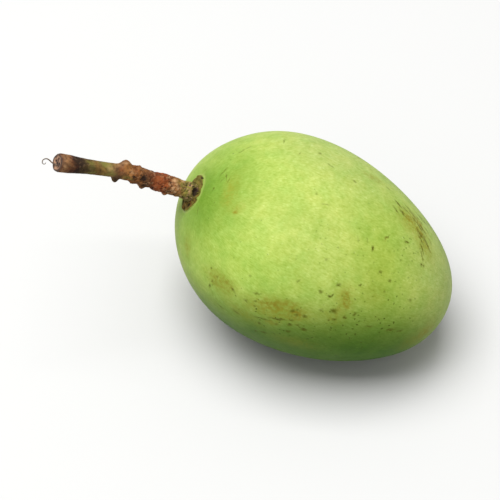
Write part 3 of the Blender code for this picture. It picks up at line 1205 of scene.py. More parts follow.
@dataclass(frozen=True)
class Wash:
    """A broad change of the skin's colour round a direction, in degrees and mm. Some are painted light on the
    upper side, and some painted shade on the underside.
    """

    colour: Colour
    slant: float
    clock: float
    length: float
    width: float
    strength: float
    softness: float = 1.0


@dataclass(frozen=True)
class Tone:
    """Cloudy or streaky variation of the skin's colour: how deep it is, its tint and its clouds."""

    depth: float
    tint: Colour
    clouds: Clouds
    streaked: bool = False


@dataclass(frozen=True)
class SkinFinish(Finish):
    """Waxy green skin: a pale crown, partly painted light; deeper green at the stem end; deeper green below,
    partly painted shade; and fine dots.
    """

    green: Colour = (0.265, 0.360, 0.064)
    tones: tuple[Tone, ...] = (
        Tone(0.10, (1.2, 0.8, 1.6), Clouds(12.0, 2.2, 2.0)),
        Tone(0.08, (1.1, 0.8, 2.0), Clouds(4.0, 2.2, 3.0)),
        Tone(0.05, (1.6, 0.5, 1.2), Clouds(6.0, 3.0, 8.0)),
        Tone(0.10, (1.0, 0.8, 2.0), Clouds(1.5, 2.2, 5.0)),
        Tone(0.16, (1.0, 0.9, 2.0), Clouds(0.6, 2.2, 6.0), streaked=True),
    )
    washes_with_painted_light_and_shade: tuple[Wash, ...] = (
        # These three lighten the upper side: partly the skin's own paler colour, partly painted light.
        Wash((0.300, 0.370, 0.085), 88, 118, 50, 44, 0.80),
        Wash((0.320, 0.370, 0.120), 80, 62, 40, 22, 0.60),
        Wash((0.310, 0.450, 0.075), 70, 158, 46, 26, 0.65),
        Wash((0.085, 0.185, 0.012), 30, 128, 31, 31, 0.90),
        # These three darken the underside: partly the skin's own deeper green, partly painted shade.
        Wash((0.028, 0.090, 0.001), 112, 211, 84, 39, 1.00, 0.60),
        Wash((0.035, 0.100, 0.001), 95, 330, 78, 40, 1.00, 0.65),
        Wash((0.030, 0.080, 0.001), 95, 268, 75, 40, 0.90),
        Wash((0.120, 0.210, 0.022), 70, 0, 44, 26, 0.45),
        Wash((0.200, 0.240, 0.040), 95, 300, 30, 22, 0.50),
        Wash((0.205, 0.290, 0.030), 138, 107, 24, 28, 0.75),
        # Pale greyish wash on the upper side near the tip: painted light.
        Wash((0.310, 0.360, 0.110), 160, 72, 30, 24, 0.70),
    )
    wash_depth: float = 40.0
    drift: Clouds = Clouds(22.0, 1.2, 1.0)
    drift_span: Span = (0.1, 0.9)
    drift_loss: float = 0.8
    pale_dot: Colour = (1.20, 1.15, 1.50)
    pale_dots: Dots = Dots(2.6, 0.20, 0.8, 0.6)
    dark_fleck: Colour = (0.040, 0.050, 0.007)
    fine_flecks: Dots = Dots(2.9, 0.10, 0.45, 0.40)
    coarse_flecks: Dots = Dots(8.0, 0.065, 0.5, 0.65)
    rim: Colour = (0.300, 0.330, 0.100)
    rim_strength: float = 0.4
    sheen: Clouds = Clouds(6.0, 0.5, 4.0)
    roughness: Span = (0.2, 0.8, 0.45, 0.57)
    marked_roughness: float = 0.12
    specular: float = 0.15
    gloss: Colour = (0.55, 0.75, 0.25)
    waves: Clouds = Clouds(5.0, 1.0, 9.0)
    pores: Grain = Grain(0.9, 0.5, 0.16)
    pores_share: float = 0.22
    marked_share: float = 0.25

    def material(self, tree: BVHTree, view: PhotoView) -> Material:
        """Makes the material.

        Args:
            tree: The fruit's mesh, that marks are placed on.
            view: The photograph's line of sight, that seen marks are placed by.

        Returns:
            The material.
        """
        material, graph, shader = self.start("green_skin")
        place = graph.place()
        colour = self._ground(graph, place, tree, view)
        colour, marked = self.lay_marks(graph, colour, (*SEEN_MARKS, *HIDDEN_MARKS), tree, view)
        graph.link(colour, shader.inputs["Base Color"])
        rough = graph.fade(graph.mottle(place, self.sheen), *self.roughness)
        rough = graph.math("ADD", rough, graph.math("MULTIPLY", marked, self.marked_roughness))
        graph.link(rough, shader.inputs["Roughness"])
        fine = graph.math("MULTIPLY", graph.grain(place, self.pores), self.pores_share)
        height = graph.math("ADD", fine, graph.mottle(place, self.waves))
        height = graph.math("SUBTRACT", height, graph.math("MULTIPLY", marked, self.marked_share))
        self.bump(graph, shader, height, self.pores.depth)
        shader.inputs["Specular IOR Level"].default_value = self.specular
        shader.inputs["Specular Tint"].default_value = (*self.gloss, 1.0)
        return material

    def _ground(self, graph: Graph, place: Socket, tree: BVHTree, view: PhotoView) -> Socket:
        """Makes the colour of the skin without its blemishes.

        Args:
            graph: The material's graph.
            place: The place on the fruit.
            tree: The fruit's mesh.
            view: The photograph's line of sight.

        Returns:
            The colour.
        """
        colour: object = self.green
        drift = graph.mottle(place, self.drift)
        # Some washes paint light on the upper side and shade on the underside.
        for wash in self.washes_with_painted_light_and_shade:
            where = side_frame(tree, view, (wash.slant, wash.clock))
            mask = graph.oval(place, where, (wash.length, wash.width, self.wash_depth), wash.softness)
            strength = graph.fade(drift, *self.drift_span, self.drift_loss * wash.strength, wash.strength)
            colour = graph.mix(graph.math("MULTIPLY", mask, strength), colour, wash.colour)
        flow = graph.attribute("flow", "Vector")
        for tone in self.tones:
            share = graph.mottle(flow if tone.streaked else place, tone.clouds)
            low = tuple(1.0 - tone.depth * part for part in tone.tint)
            high = tuple(1.0 + tone.depth * part for part in tone.tint)
            colour = graph.mix(1.0, colour, graph.mix(share, low, high), "MULTIPLY")
        mask = graph.math("MULTIPLY", graph.specks(place, self.pale_dots), self.pale_dots.strength)
        colour = graph.mix(mask, colour, graph.mix(1.0, colour, self.pale_dot, "MULTIPLY"))
        for flecks in (self.fine_flecks, self.coarse_flecks):
            mask = graph.math("MULTIPLY", graph.specks(place, flecks), flecks.strength)
            colour = graph.mix(mask, colour, self.dark_fleck)
        rim = graph.math("MULTIPLY", graph.attribute("scar_rim"), self.rim_strength)
        return graph.mix(rim, colour, self.rim)


@dataclass(frozen=True)
class CorkFinish(Finish):
    """Rough brown cork: beige on its lumps, a trace of green between, and dark in its pits, with painted
    shade where the relief sinks.
    """

    lump: Colour = (0.160, 0.115, 0.026)
    lump_span: Span = (0.10, 0.70, 0.0, 0.55)
    middle: Colour = (0.090, 0.070, 0.009)
    pit: Colour = (0.018, 0.012, 0.002)
    pit_span: Span = (-0.25, -0.95)
    green: Colour = (0.115, 0.120, 0.014)
    green_clouds: Clouds = Clouds(1.6, 2.0, 2.0)
    green_span: Span = (0.45, 0.85, 0.0, 0.7)
    red: Colour = (0.130, 0.058, 0.008)
    red_clouds: Clouds = Clouds(2.2, 3.0, 5.0)
    red_span: Span = (0.55, 0.95, 0.0, 0.8)
    holes: Dots = Dots(0.9, 0.3, 0.30, 0.45)
    grain: Grain = Grain(0.4, 0.8, 0.10)
    roughness: float = 0.85
    specular: float = 0.15

    def material(self, tree: BVHTree, view: PhotoView) -> Material:
        """Makes the material.

        Args:
            tree: The fruit's mesh.
            view: The photograph's line of sight.

        Returns:
            The material.
        """
        material, graph, shader = self.start("scar_cork")
        place = graph.place()
        relief = graph.attribute("relief")
        green = graph.fade(graph.mottle(place, self.green_clouds), *self.green_span)
        colour = graph.mix(green, self.middle, self.green)
        colour = graph.mix(graph.fade(graph.mottle(place, self.red_clouds), *self.red_span), colour, self.red)
        colour, _ = self.lay_marks(graph, colour, CORK_PATCHES, tree, view)
        colour = graph.mix(graph.fade(relief, *self.lump_span), colour, self.lump)
        # Painted shade: the colour darkens to the pit colour where the relief sinks, in the pits and between
        # the lumps.
        colour = graph.mix(graph.fade(relief, *self.pit_span), colour, self.pit)
        holes = graph.math("MULTIPLY", graph.specks(place, self.holes), self.holes.strength)
        graph.link(graph.mix(holes, colour, self.pit), shader.inputs["Base Color"])
        shader.inputs["Roughness"].default_value = self.roughness
        shader.inputs["Specular IOR Level"].default_value = self.specular
        self.bump(graph, shader, graph.grain(place, self.grain), self.grain.depth)
        return material


@dataclass(frozen=True)
class Pit:
    """A pit that the photograph shows: its pixel, and its radius and depth in mm."""

    pixel: Pixel
    radius: float
    depth: float

    def depths(self, points: Array, tree: BVHTree, view: PhotoView) -> Array:
        """Measures the pit.

        Args:
            points: Points of the piece that it is sunk into.
            tree: The piece's mesh.
            view: The photograph's line of sight.

        Returns:
            How deep it is at each point, in mm.
        """
        centre = np.array(view.hit(tree, self.pixel)[0])
        away = np.linalg.norm(points - centre, axis=-1) / (self.radius * MM)
        return self.depth * np.exp(-(away**2))


@dataclass
class Fruit:
    """The fruit with the corky scar round its stem.

    Lengths are in metres and angles in radians.
    """

    view: PhotoView
    form: FruitForm = FruitForm()
    cork: CorkRing = CorkRing()
    seat_slant: float = math.radians(28.5)
    seat_clock: float = math.radians(130.0)
    sides: int = 320
    foot_corners: int = 68
    foot_reach: float = 13.0 * MM
    side_opening: float = 2.0
    foot_opening: float = math.pi - 1e-6
    hidden_radius: float = 2.4 * MM
    scar_step: float = 0.15 * MM
    scar_end: float = 9.3 * MM
    scar_share: float = 0.45
    rim_width: float = 0.45 * MM
    shoulder_rings: int = 14
    shoulder_end: float = 20.0 * MM
    shoulder_growth: float = 1.4
    body_rings: int = 190
    streak_squeeze: float = 0.4
    # How strongly a pit's depth darkens the cork's colour, as painted shade.
    pit_darkness: float = 2.0
    pits: tuple[Pit, ...] = (
        Pit((165.6, 104.6), 0.80, 0.60), Pit((165.0, 107.5), 0.60, 0.50), Pit((169.2, 95.2), 0.50, 0.45),
        Pit((158.9, 115.5), 0.65, 0.50), Pit((156.0, 117.8), 0.60, 0.55), Pit((169.0, 100.0), 0.35, 0.25),
        Pit((162.0, 112.0), 0.45, 0.30),
    )

    def __post_init__(self) -> None:
        """Sets the stem's seat where the photograph shows it."""
        self.seat = StemSeat(self.form, self.seat_slant, self.seat_clock)

    def shift(self) -> Array:
        """Finds how far the tilted fruit moves to lie on the table, as in the solids.

        Returns:
            The move.
        """
        turn = np.exp(1j * clock_face(self.foot_corners))
        arcs = self.seat.arcs(self.seat.at_reach(self.foot_reach, turn))
        rim = self.form.tilted(self.form.skin(arcs(self._rim(arcs, len(turn)))))
        middle = (rim.min(axis=0) + rim.max(axis=0)) / 2
        middle[2] = self.form.lowest()[1] + self.form.flat_depth
        return -middle

    def _rim(self, arcs: Callable[[Array], Array], count: int) -> Array:
        """Finds the rim of the flat spot.

        Args:
            arcs: Gives directions along arcs to the lowest point.
            count: How many arcs there are.

        Returns:
            The openings at which the arcs meet the table.
        """
        table = self.form.lowest()[1] + self.form.flat_depth
        low, high = np.full(count, self.side_opening), np.full(count, self.foot_opening)
        return halve(low, high, lambda o: self.form.tilted(self.form.skin(arcs(o)))[:, 2] > table)

    def _rings(self) -> list[Array]:
        """Lays rings of directions over the fruit.

        Returns:
            The rings, from under the stem to the rim of the flat spot.
        """
        turn = np.exp(1j * clock_face(self.sides))
        radii = list(np.arange(self.hidden_radius, self.scar_end, self.scar_step))
        shoulder = np.linspace(0.0, 1.0, self.shoulder_rings + 1)[1:] ** self.shoulder_growth
        radii += list(self.scar_end + (self.shoulder_end - self.scar_end) * shoulder)
        numbers = [self.seat.at_reach(radius, turn) for radius in radii]
        rings = [self.seat.vector(number) for number in numbers]
        arcs = self.seat.arcs(numbers[-1])
        start, rim = self.seat.opening(numbers[-1]), self._rim(arcs, self.sides)
        for ring in range(1, self.body_rings + 1):
            rings.append(arcs(start + (rim - start) * ring / self.body_rings))
        return rings

    def build(self) -> RingMesh:
        """Builds the fruit and dresses it.

        Returns:
            The fruit's mesh.
        """
        ways = self._rings()
        flat = np.vstack(ways)
        skin = self.form.skin(flat)
        reach = self.seat.reach(skin)
        clock = np.angle(self.seat.number(flat))
        near = flat @ self.seat.pole > 0.0
        scar = np.where(near, self.cork.share(reach, clock), 0.0)
        lumps = self.cork.crumbs(skin, scar)
        rise = np.where(near, self.cork.rise(reach, clock), 0.0) + self.cork.crumb * lumps
        points = self.form.tilted(skin + rise[:, None] * self.seat.out) + self.shift()
        points, pits = self._sink_pits(points, scar)
        points[-self.sides:, 2] = 0.0
        middle = points[:self.sides].mean(axis=0)
        mesh = RingMesh("mango_fruit", middle, np.split(points, len(ways)), np.zeros(3))
        ends = [0.0, 0.0]
        mesh.attribute("relief", np.append(lumps - pits, ends))
        outline = np.where(near, (reach - self.cork.outline(clock)) / self.rim_width, np.inf)
        mesh.attribute("scar_rim", np.append(np.exp(-(outline**2)), ends))
        flow = self.seat.flow(flat, self.streak_squeeze)
        mesh.attribute("flow", np.vstack([flow, flow[0], flow[-1]]))
        tree = BVHTree.FromObject(mesh.object, bpy.context.evaluated_depsgraph_get())
        skin_material = SkinFinish().material(tree, self.view)
        cork_material = CorkFinish().material(tree, self.view)
        mesh.dress([skin_material, cork_material], np.append(scar > self.scar_share, [True, False]))
        mesh.place_on("fruit")
        return mesh

    def _sink_pits(self, points: Array, scar: Array) -> tuple[Array, Array]:
        """Sinks the scar's dark pits.

        Args:
            points: The fruit's points, in the row frame.
            scar: 1 at the points on the scar.

        Returns:
            The new points, and how dark the pits make each, as painted shade in the cork's colour.
        """
        rings = np.split(points, len(points) // self.sides)
        trial = RingMesh("scar_trial", points[0], rings, points[-1])
        tree = BVHTree.FromObject(trial.object, bpy.context.evaluated_depsgraph_get())
        bpy.data.objects.remove(trial.object)
        depth = np.zeros(len(points))
        for pit in self.pits:
            depth = np.maximum(depth, pit.depths(points, tree, self.view) * (scar > 0.0))
        sunk = points - (depth * MM)[:, None] * self.form.tilted(self.seat.out)
        # The pits' depth is handed on to darken the cork's colour, as painted shade.
        return sunk, depth * self.pit_darkness


@dataclass(frozen=True)
class Knob:
    """A knob where a flower stalk fell off: its place in mm, its turn in degrees, its height and width."""

    STEEPNESS = 1.6
    FLATNESS = 1.4

    place: float
    turn: float
    height: float
    width: float

    def rise(self, length: Array, clock: Array, radius: Array) -> Array:
        """Shapes the knob.

        Args:
            length: Lengths along the stem, in metres.
            clock: Angles round it, in radians.
            radius: The radius of the stem without the knob.

        Returns:
            How much the knob adds to the radius.
        """
        away = np.angle(np.exp(1j * (clock - math.radians(self.turn)))) * radius
        near = (away**2 + (length - self.place * MM) ** 2) / (self.width * MM) ** 2
        return self.height * MM * np.exp(-self.STEEPNESS * near**self.FLATNESS)


@dataclass(frozen=True)
class StemForm:
    """The shape of the stem, in metres and radians from its foot in the scar.

    Its stations are in mm: each gives a length along the stem and the radius there.
    """

    length: float = 54.0 * MM
    foot_depth: float = 2.4 * MM
    free: float = 4.0 * MM
    first: tuple[float, float] = (math.radians(28.0), math.radians(28.0))
    last: tuple[float, float] = (math.radians(38.0), math.radians(24.0))
    node: float = 27.0 * MM
    node_width: float = 8.0 * MM
    stations: tuple[tuple[float, float], ...] = (
        (0.0, 3.5), (2.6, 3.5), (4.0, 3.35), (6.0, 3.15), (9.0, 3.35), (13.5, 3.4),
        (17.5, 3.0), (20.0, 3.1), (24.0, 3.05), (28.5, 2.9), (32.5, 2.5), (38.0, 2.5),
        (43.0, 2.65), (46.0, 2.85), (48.0, 3.05), (50.0, 3.25), (53.3, 3.35), (54.0, 3.1),
    )
    ridge: float = 0.07 * MM
    pitch: float = 2.3 * MM
    flute: float = 0.025
    old_start: float = 4.0 * MM
    old_start_fade: float = 2.0 * MM
    old_end: float = 29.8 * MM
    old_end_fade: float = 3.0 * MM
    knobs: tuple[Knob, ...] = (
        Knob(28.9, -25, 1.5, 2.0), Knob(31.5, 158, 1.9, 1.5), Knob(26.0, 75, 0.7, 1.4),
        Knob(20.9, 140, 1.3, 1.3), Knob(24.7, 140, 0.6, 1.3), Knob(14.6, 5, 0.7, 2.2),
        Knob(16.0, 140, 0.5, 1.6), Knob(11.9, 140, 0.7, 1.1), Knob(12.5, 60, 0.5, 1.3),
        Knob(23.5, 280, 0.9, 1.4), Knob(15.0, 260, 0.6, 1.3), Knob(37.5, 250, 0.5, 1.1),
    )

    @staticmethod
    def heading(turn: float, rise: float) -> Array:
        """Returns the direction turned from -X towards -Y, then raised."""
        across = math.cos(rise)
        return np.array([-across * math.cos(turn), -across * math.sin(turn), math.sin(rise)])

    def path(self, seat: Array, out: Array, lengths: Array) -> tuple[Array, Array]:
        """Lays the stem's middle line.

        Args:
            seat: The point on the bare skin under the stem.
            out: The way out of the skin there.
            lengths: The lengths along the stem, from its foot.

        Returns:
            The points of the line and its directions there.
        """
        free = smooth_step((lengths - self.free / 2) / self.free)[:, None]
        bend = smooth_step((lengths - self.node) / self.node_width + 0.5)[:, None]
        ways = (1.0 - bend) * self.heading(*self.first) + bend * self.heading(*self.last)
        ways = unit((1.0 - free) * out + free * ways)
        steps = (ways[1:] + ways[:-1]) / 2 * np.diff(lengths)[:, None]
        foot = seat - self.foot_depth * out
        return foot + np.vstack([np.zeros(3), np.cumsum(steps, axis=0)]), ways

    def radius(self, length: Array, clock: Array) -> Array:
        """Shapes the stem with its bark rings, flutes and knobs, as in the solids.

        Args:
            length: Lengths along the stem.
            clock: Angles round it from its top.

        Returns:
            The radius there.
        """
        stations = np.array(self.stations) * MM
        radius = np.interp(length, stations[:, 0], stations[:, 1])
        old = smooth_step((self.old_end - length) / self.old_end_fade)
        old = old * smooth_step((length - self.old_start) / self.old_start_fade)
        turns = 2.0 * math.pi * length / self.pitch
        wave = np.sin(turns + 1.6 * np.sin(clock + turns / 7.0) + np.cos(2.0 * clock - turns / 4.0))
        wave = wave * (0.6 + 0.5 * np.sin(3.0 * clock + turns / 3.0))
        radius = radius + self.ridge * old * wave
        radius = radius * (1.0 + self.flute * (1.0 - old) * np.cos(5.0 * clock + turns / 40.0))
        for knob in self.knobs:
            radius = radius + knob.rise(length, clock, radius)
        return radius


@dataclass(frozen=True)
class BarkFinish(Finish):
    """Bark that changes along the stem: green at the foot, tan and red-brown, then olive.

    Each stop gives a length along the stem, in mm, and the colour there. The other places along
    it are shares of its length.
    """

    length: float = 56.0
    stops: tuple[tuple[float, Colour], ...] = (
        (3.0, (0.120, 0.100, 0.022)), (5.5, (0.190, 0.160, 0.030)), (8.0, (0.210, 0.105, 0.032)),
        (10.5, (0.190, 0.075, 0.022)), (13.0, (0.170, 0.040, 0.009)), (15.5, (0.190, 0.045, 0.012)),
        (18.0, (0.090, 0.022, 0.006)), (20.5, (0.110, 0.044, 0.014)), (23.0, (0.160, 0.062, 0.015)),
        (25.5, (0.150, 0.052, 0.011)), (28.0, (0.190, 0.080, 0.020)), (30.5, (0.095, 0.042, 0.017)),
        (33.0, (0.190, 0.105, 0.040)), (36.0, (0.150, 0.100, 0.022)), (39.0, (0.110, 0.062, 0.015)),
        (41.5, (0.070, 0.042, 0.009)), (44.0, (0.040, 0.024, 0.006)), (46.0, (0.022, 0.011, 0.005)),
        (47.5, (0.014, 0.006, 0.003)), (49.0, (0.034, 0.011, 0.005)), (50.5, (0.085, 0.032, 0.011)),
        (52.0, (0.170, 0.085, 0.034)), (54.0, (0.070, 0.028, 0.012)),
    )
    drift: Clouds = Clouds(3.5, 2.0, 1.0)
    drift_span: Span = (0.0, 1.0, -0.03, 0.03)
    blotches: Clouds = Clouds(1.2, 3.0, 3.0)
    blotch_dark: Colour = (0.55, 0.52, 0.50)
    blotch_pale: Colour = (1.45, 1.42, 1.38)
    lichen: Colour = (0.120, 0.130, 0.030)
    lichen_clouds: Clouds = Clouds(4.0, 3.0, 6.0)
    lichen_span: Span = (0.45, 0.9)
    lichen_start: Span = (0.5, 0.62)
    lichen_end: Span = (0.80, 0.72)
    lichen_strength: float = 0.5
    flake: Colour = (0.380, 0.225, 0.120)
    flake_clouds: Clouds = Clouds(1.1, 4.0, 8.0)
    flake_span: Span = (0.62, 0.95)
    flake_reach: Span = (0.55, 0.12, 0.15, 1.0)
    flake_strength: float = 0.75
    crack: Colour = (0.012, 0.005, 0.003)
    crack_span: Span = (-0.20, -0.95, 0.0, 0.85)
    grain: Grain = Grain(0.5, 0.7, 0.12)
    roughness: float = 0.85
    specular: float = 0.20

    def material(self, tree: BVHTree, view: PhotoView) -> Material:
        """Makes the material.

        Args:
            tree: The stem's mesh.
            view: The photograph's line of sight.

        Returns:
            The material.
        """
        material, graph, shader = self.start("stem_bark")
        place = graph.place()
        along = graph.attribute("along")
        colour = self._bands(graph, graph.math("ADD", along, self._drift(graph, place)))
        tone = graph.mix(graph.mottle(place, self.blotches), self.blotch_dark, self.blotch_pale)
        colour = graph.mix(1.0, colour, tone, "MULTIPLY")
        past, short = graph.fade(along, *self.lichen_start), graph.fade(along, *self.lichen_end)
        outer = graph.math("MULTIPLY", graph.math("MULTIPLY", past, short), self.lichen_strength)
        green = graph.fade(graph.mottle(place, self.lichen_clouds), *self.lichen_span)
        colour = graph.mix(graph.math("MULTIPLY", green, outer), colour, self.lichen)
        inner = graph.math("MULTIPLY", graph.fade(along, *self.flake_reach), self.flake_strength)
        flakes = graph.fade(graph.mottle(place, self.flake_clouds), *self.flake_span)
        colour = graph.mix(graph.math("MULTIPLY", flakes, inner), colour, self.flake)
        colour, _ = self.lay_marks(graph, colour, BARK_PATCHES, tree, view)
        # Painted shade: the colour darkens where the bark's relief sinks, in the cracks between its plates.
        cracks = graph.fade(graph.attribute("relief"), *self.crack_span)
        graph.link(graph.mix(cracks, colour, self.crack), shader.inputs["Base Color"])
        shader.inputs["Roughness"].default_value = self.roughness
        shader.inputs["Specular IOR Level"].default_value = self.specular
        self.bump(graph, shader, graph.grain(place, self.grain), self.grain.depth)
        return material

    def _drift(self, graph: Graph, place: Socket) -> Socket:
        """Returns how far the bands are shifted along the stem."""
        return graph.fade(graph.mottle(place, self.drift), *self.drift_span)

    def _bands(self, graph: Graph, along: Socket) -> Socket:
        """Makes the bands of colour along the stem.

        Args:
            graph: The material's graph.
            along: The place along the stem, as a share of the length.

        Returns:
            The colour.
        """
        ramp = graph.node("ShaderNodeValToRGB", {"Fac": along})
        elements = ramp.color_ramp.elements
        elements.remove(elements[1])
        for index, (place, colour) in enumerate(self.stops):
            stop = elements.new(place / self.length) if index else elements[0]
            stop.position = place / self.length
            stop.color = (*colour, 1.0)
        return ramp.outputs["Color"]


@dataclass(frozen=True)
class CutWoodFinish(Finish):
    """The dry cut face: pinkish tan wood with darker pores, inside a dark ring of bark."""

    wood: Colour = (0.320, 0.175, 0.100)
    brown: Colour = (0.130, 0.060, 0.028)
    brown_clouds: Clouds = Clouds(1.4, 3.0, 2.0)
    brown_span: Span = (0.35, 0.75)
    ring: Colour = (0.048, 0.022, 0.010)
    ring_span: Span = (0.60, 0.86)
    ring_drift: Span = (0.0, 1.0, -0.08, 0.08)
    pit: Colour = (0.016, 0.006, 0.004)
    pit_span: Span = (-0.1, -0.8)
    pores: Dots = Dots(0.8, 0.28, 0.5, 0.6)
    grain: Grain = Grain(0.35, 0.9, 0.10)
    roughness: float = 0.75

    def material(self) -> Material:
        """Makes the material.

        Returns:
            The material.
        """
        material, graph, shader = self.start("cut_wood")
        place = graph.place()
        clouds = graph.mottle(place, self.brown_clouds)
        colour = graph.mix(graph.fade(clouds, *self.brown_span), self.wood, self.brown)
        edge = graph.math("ADD", graph.attribute("outward"), graph.fade(clouds, *self.ring_drift))
        colour = graph.mix(graph.fade(edge, *self.ring_span), colour, self.ring)
        # Painted shade: the colour darkens where the cut face's relief sinks, in its hollow and pits.
        colour = graph.mix(graph.fade(graph.attribute("relief"), *self.pit_span), colour, self.pit)
        pores = graph.math("MULTIPLY", graph.specks(place, self.pores), self.pores.strength)
        graph.link(graph.mix(pores, colour, self.pit), shader.inputs["Base Color"])
        shader.inputs["Roughness"].default_value = self.roughness
        self.bump(graph, shader, graph.grain(place, self.grain), self.grain.depth)
        return material


@dataclass(frozen=True)
class FibreFinish(Finish):
    """A dry brown fibre."""

    pale: Colour = (0.130, 0.085, 0.050)
    dark: Colour = (0.035, 0.018, 0.010)
    clouds: Clouds = Clouds(0.8, 3.0, 1.0)
    roughness: float = 0.7

    def material(self) -> Material:
        """Makes the material.

        Returns:
            The material.
        """
        material, graph, shader = self.start("dry_fibre")
        share = graph.mottle(graph.place(), self.clouds)
        graph.link(graph.mix(share, self.dark, self.pale), shader.inputs["Base Color"])
        shader.inputs["Roughness"].default_value = self.roughness
        return material


@dataclass(frozen=True)
class CutPit:
    """A pit in the cut face, in shares of its radius: how far out it is, its turn, radius and depth.

    The turn is in degrees and the depth in mm.
    """

    out: float
    turn: float
    radius: float
    depth: float


@dataclass(frozen=True)
class CutFace:
    """The form of the cut face.

    Its slope makes it lean towards the viewer over a reach in metres. Heights are in mm, and the
    places and widths of its lip and its hollow are shares of its radius. Its darkening is how
    strongly its relief darkens its colour, as painted shade in its hollow and pits.
    """

    rings: int = 16
    slope: float = 0.24
    reach: float = 9.0 * MM
    darkening: float = 3.0
    lip_height: float = 0.16
    lip_place: float = 0.84
    lip_width: float = 0.10
    hollow_depth: float = 0.14
    hollow_place: float = 0.3
    hollow_width: float = 0.5
    roughness: float = 0.09
    lump: float = 0.22
    pits: tuple[CutPit, ...] = (
        CutPit(0.38, 80.0, 0.16, 0.35), CutPit(0.15, 200.0, 0.14, 0.30), CutPit(0.45, 250.0, 0.13, 0.30),
        CutPit(0.50, 330.0, 0.12, 0.25), CutPit(0.30, 150.0, 0.10, 0.22),
    )

    def rise(self, share: float, clock: Array) -> Array:
        """Shapes one ring of the face.

        Args:
            share: How far out the ring is.
            clock: The angles of its points.

        Returns:
            The height of its points, in mm.
        """
        lip = self.lip_height * math.exp(-(((share - self.lip_place) / self.lip_width) ** 2))
        inward = np.array((share - self.hollow_place) / self.hollow_width)
        hollow = -self.hollow_depth * (1.0 - float(smooth_step(inward)))
        place = np.stack([share * np.cos(clock), share * np.sin(clock), np.full(len(clock), 0.5)], 1)
        rise = lip + hollow + self.roughness * cloud(place, self.lump, octaves=3)
        for pit in self.pits:
            turn = math.radians(pit.turn)
            centre = pit.out * np.array([math.cos(turn), math.sin(turn)])
            away = np.linalg.norm(place[:, :2] - centre, axis=1) / pit.radius
            rise = rise - pit.depth * np.exp(-(away**2))
        return rise


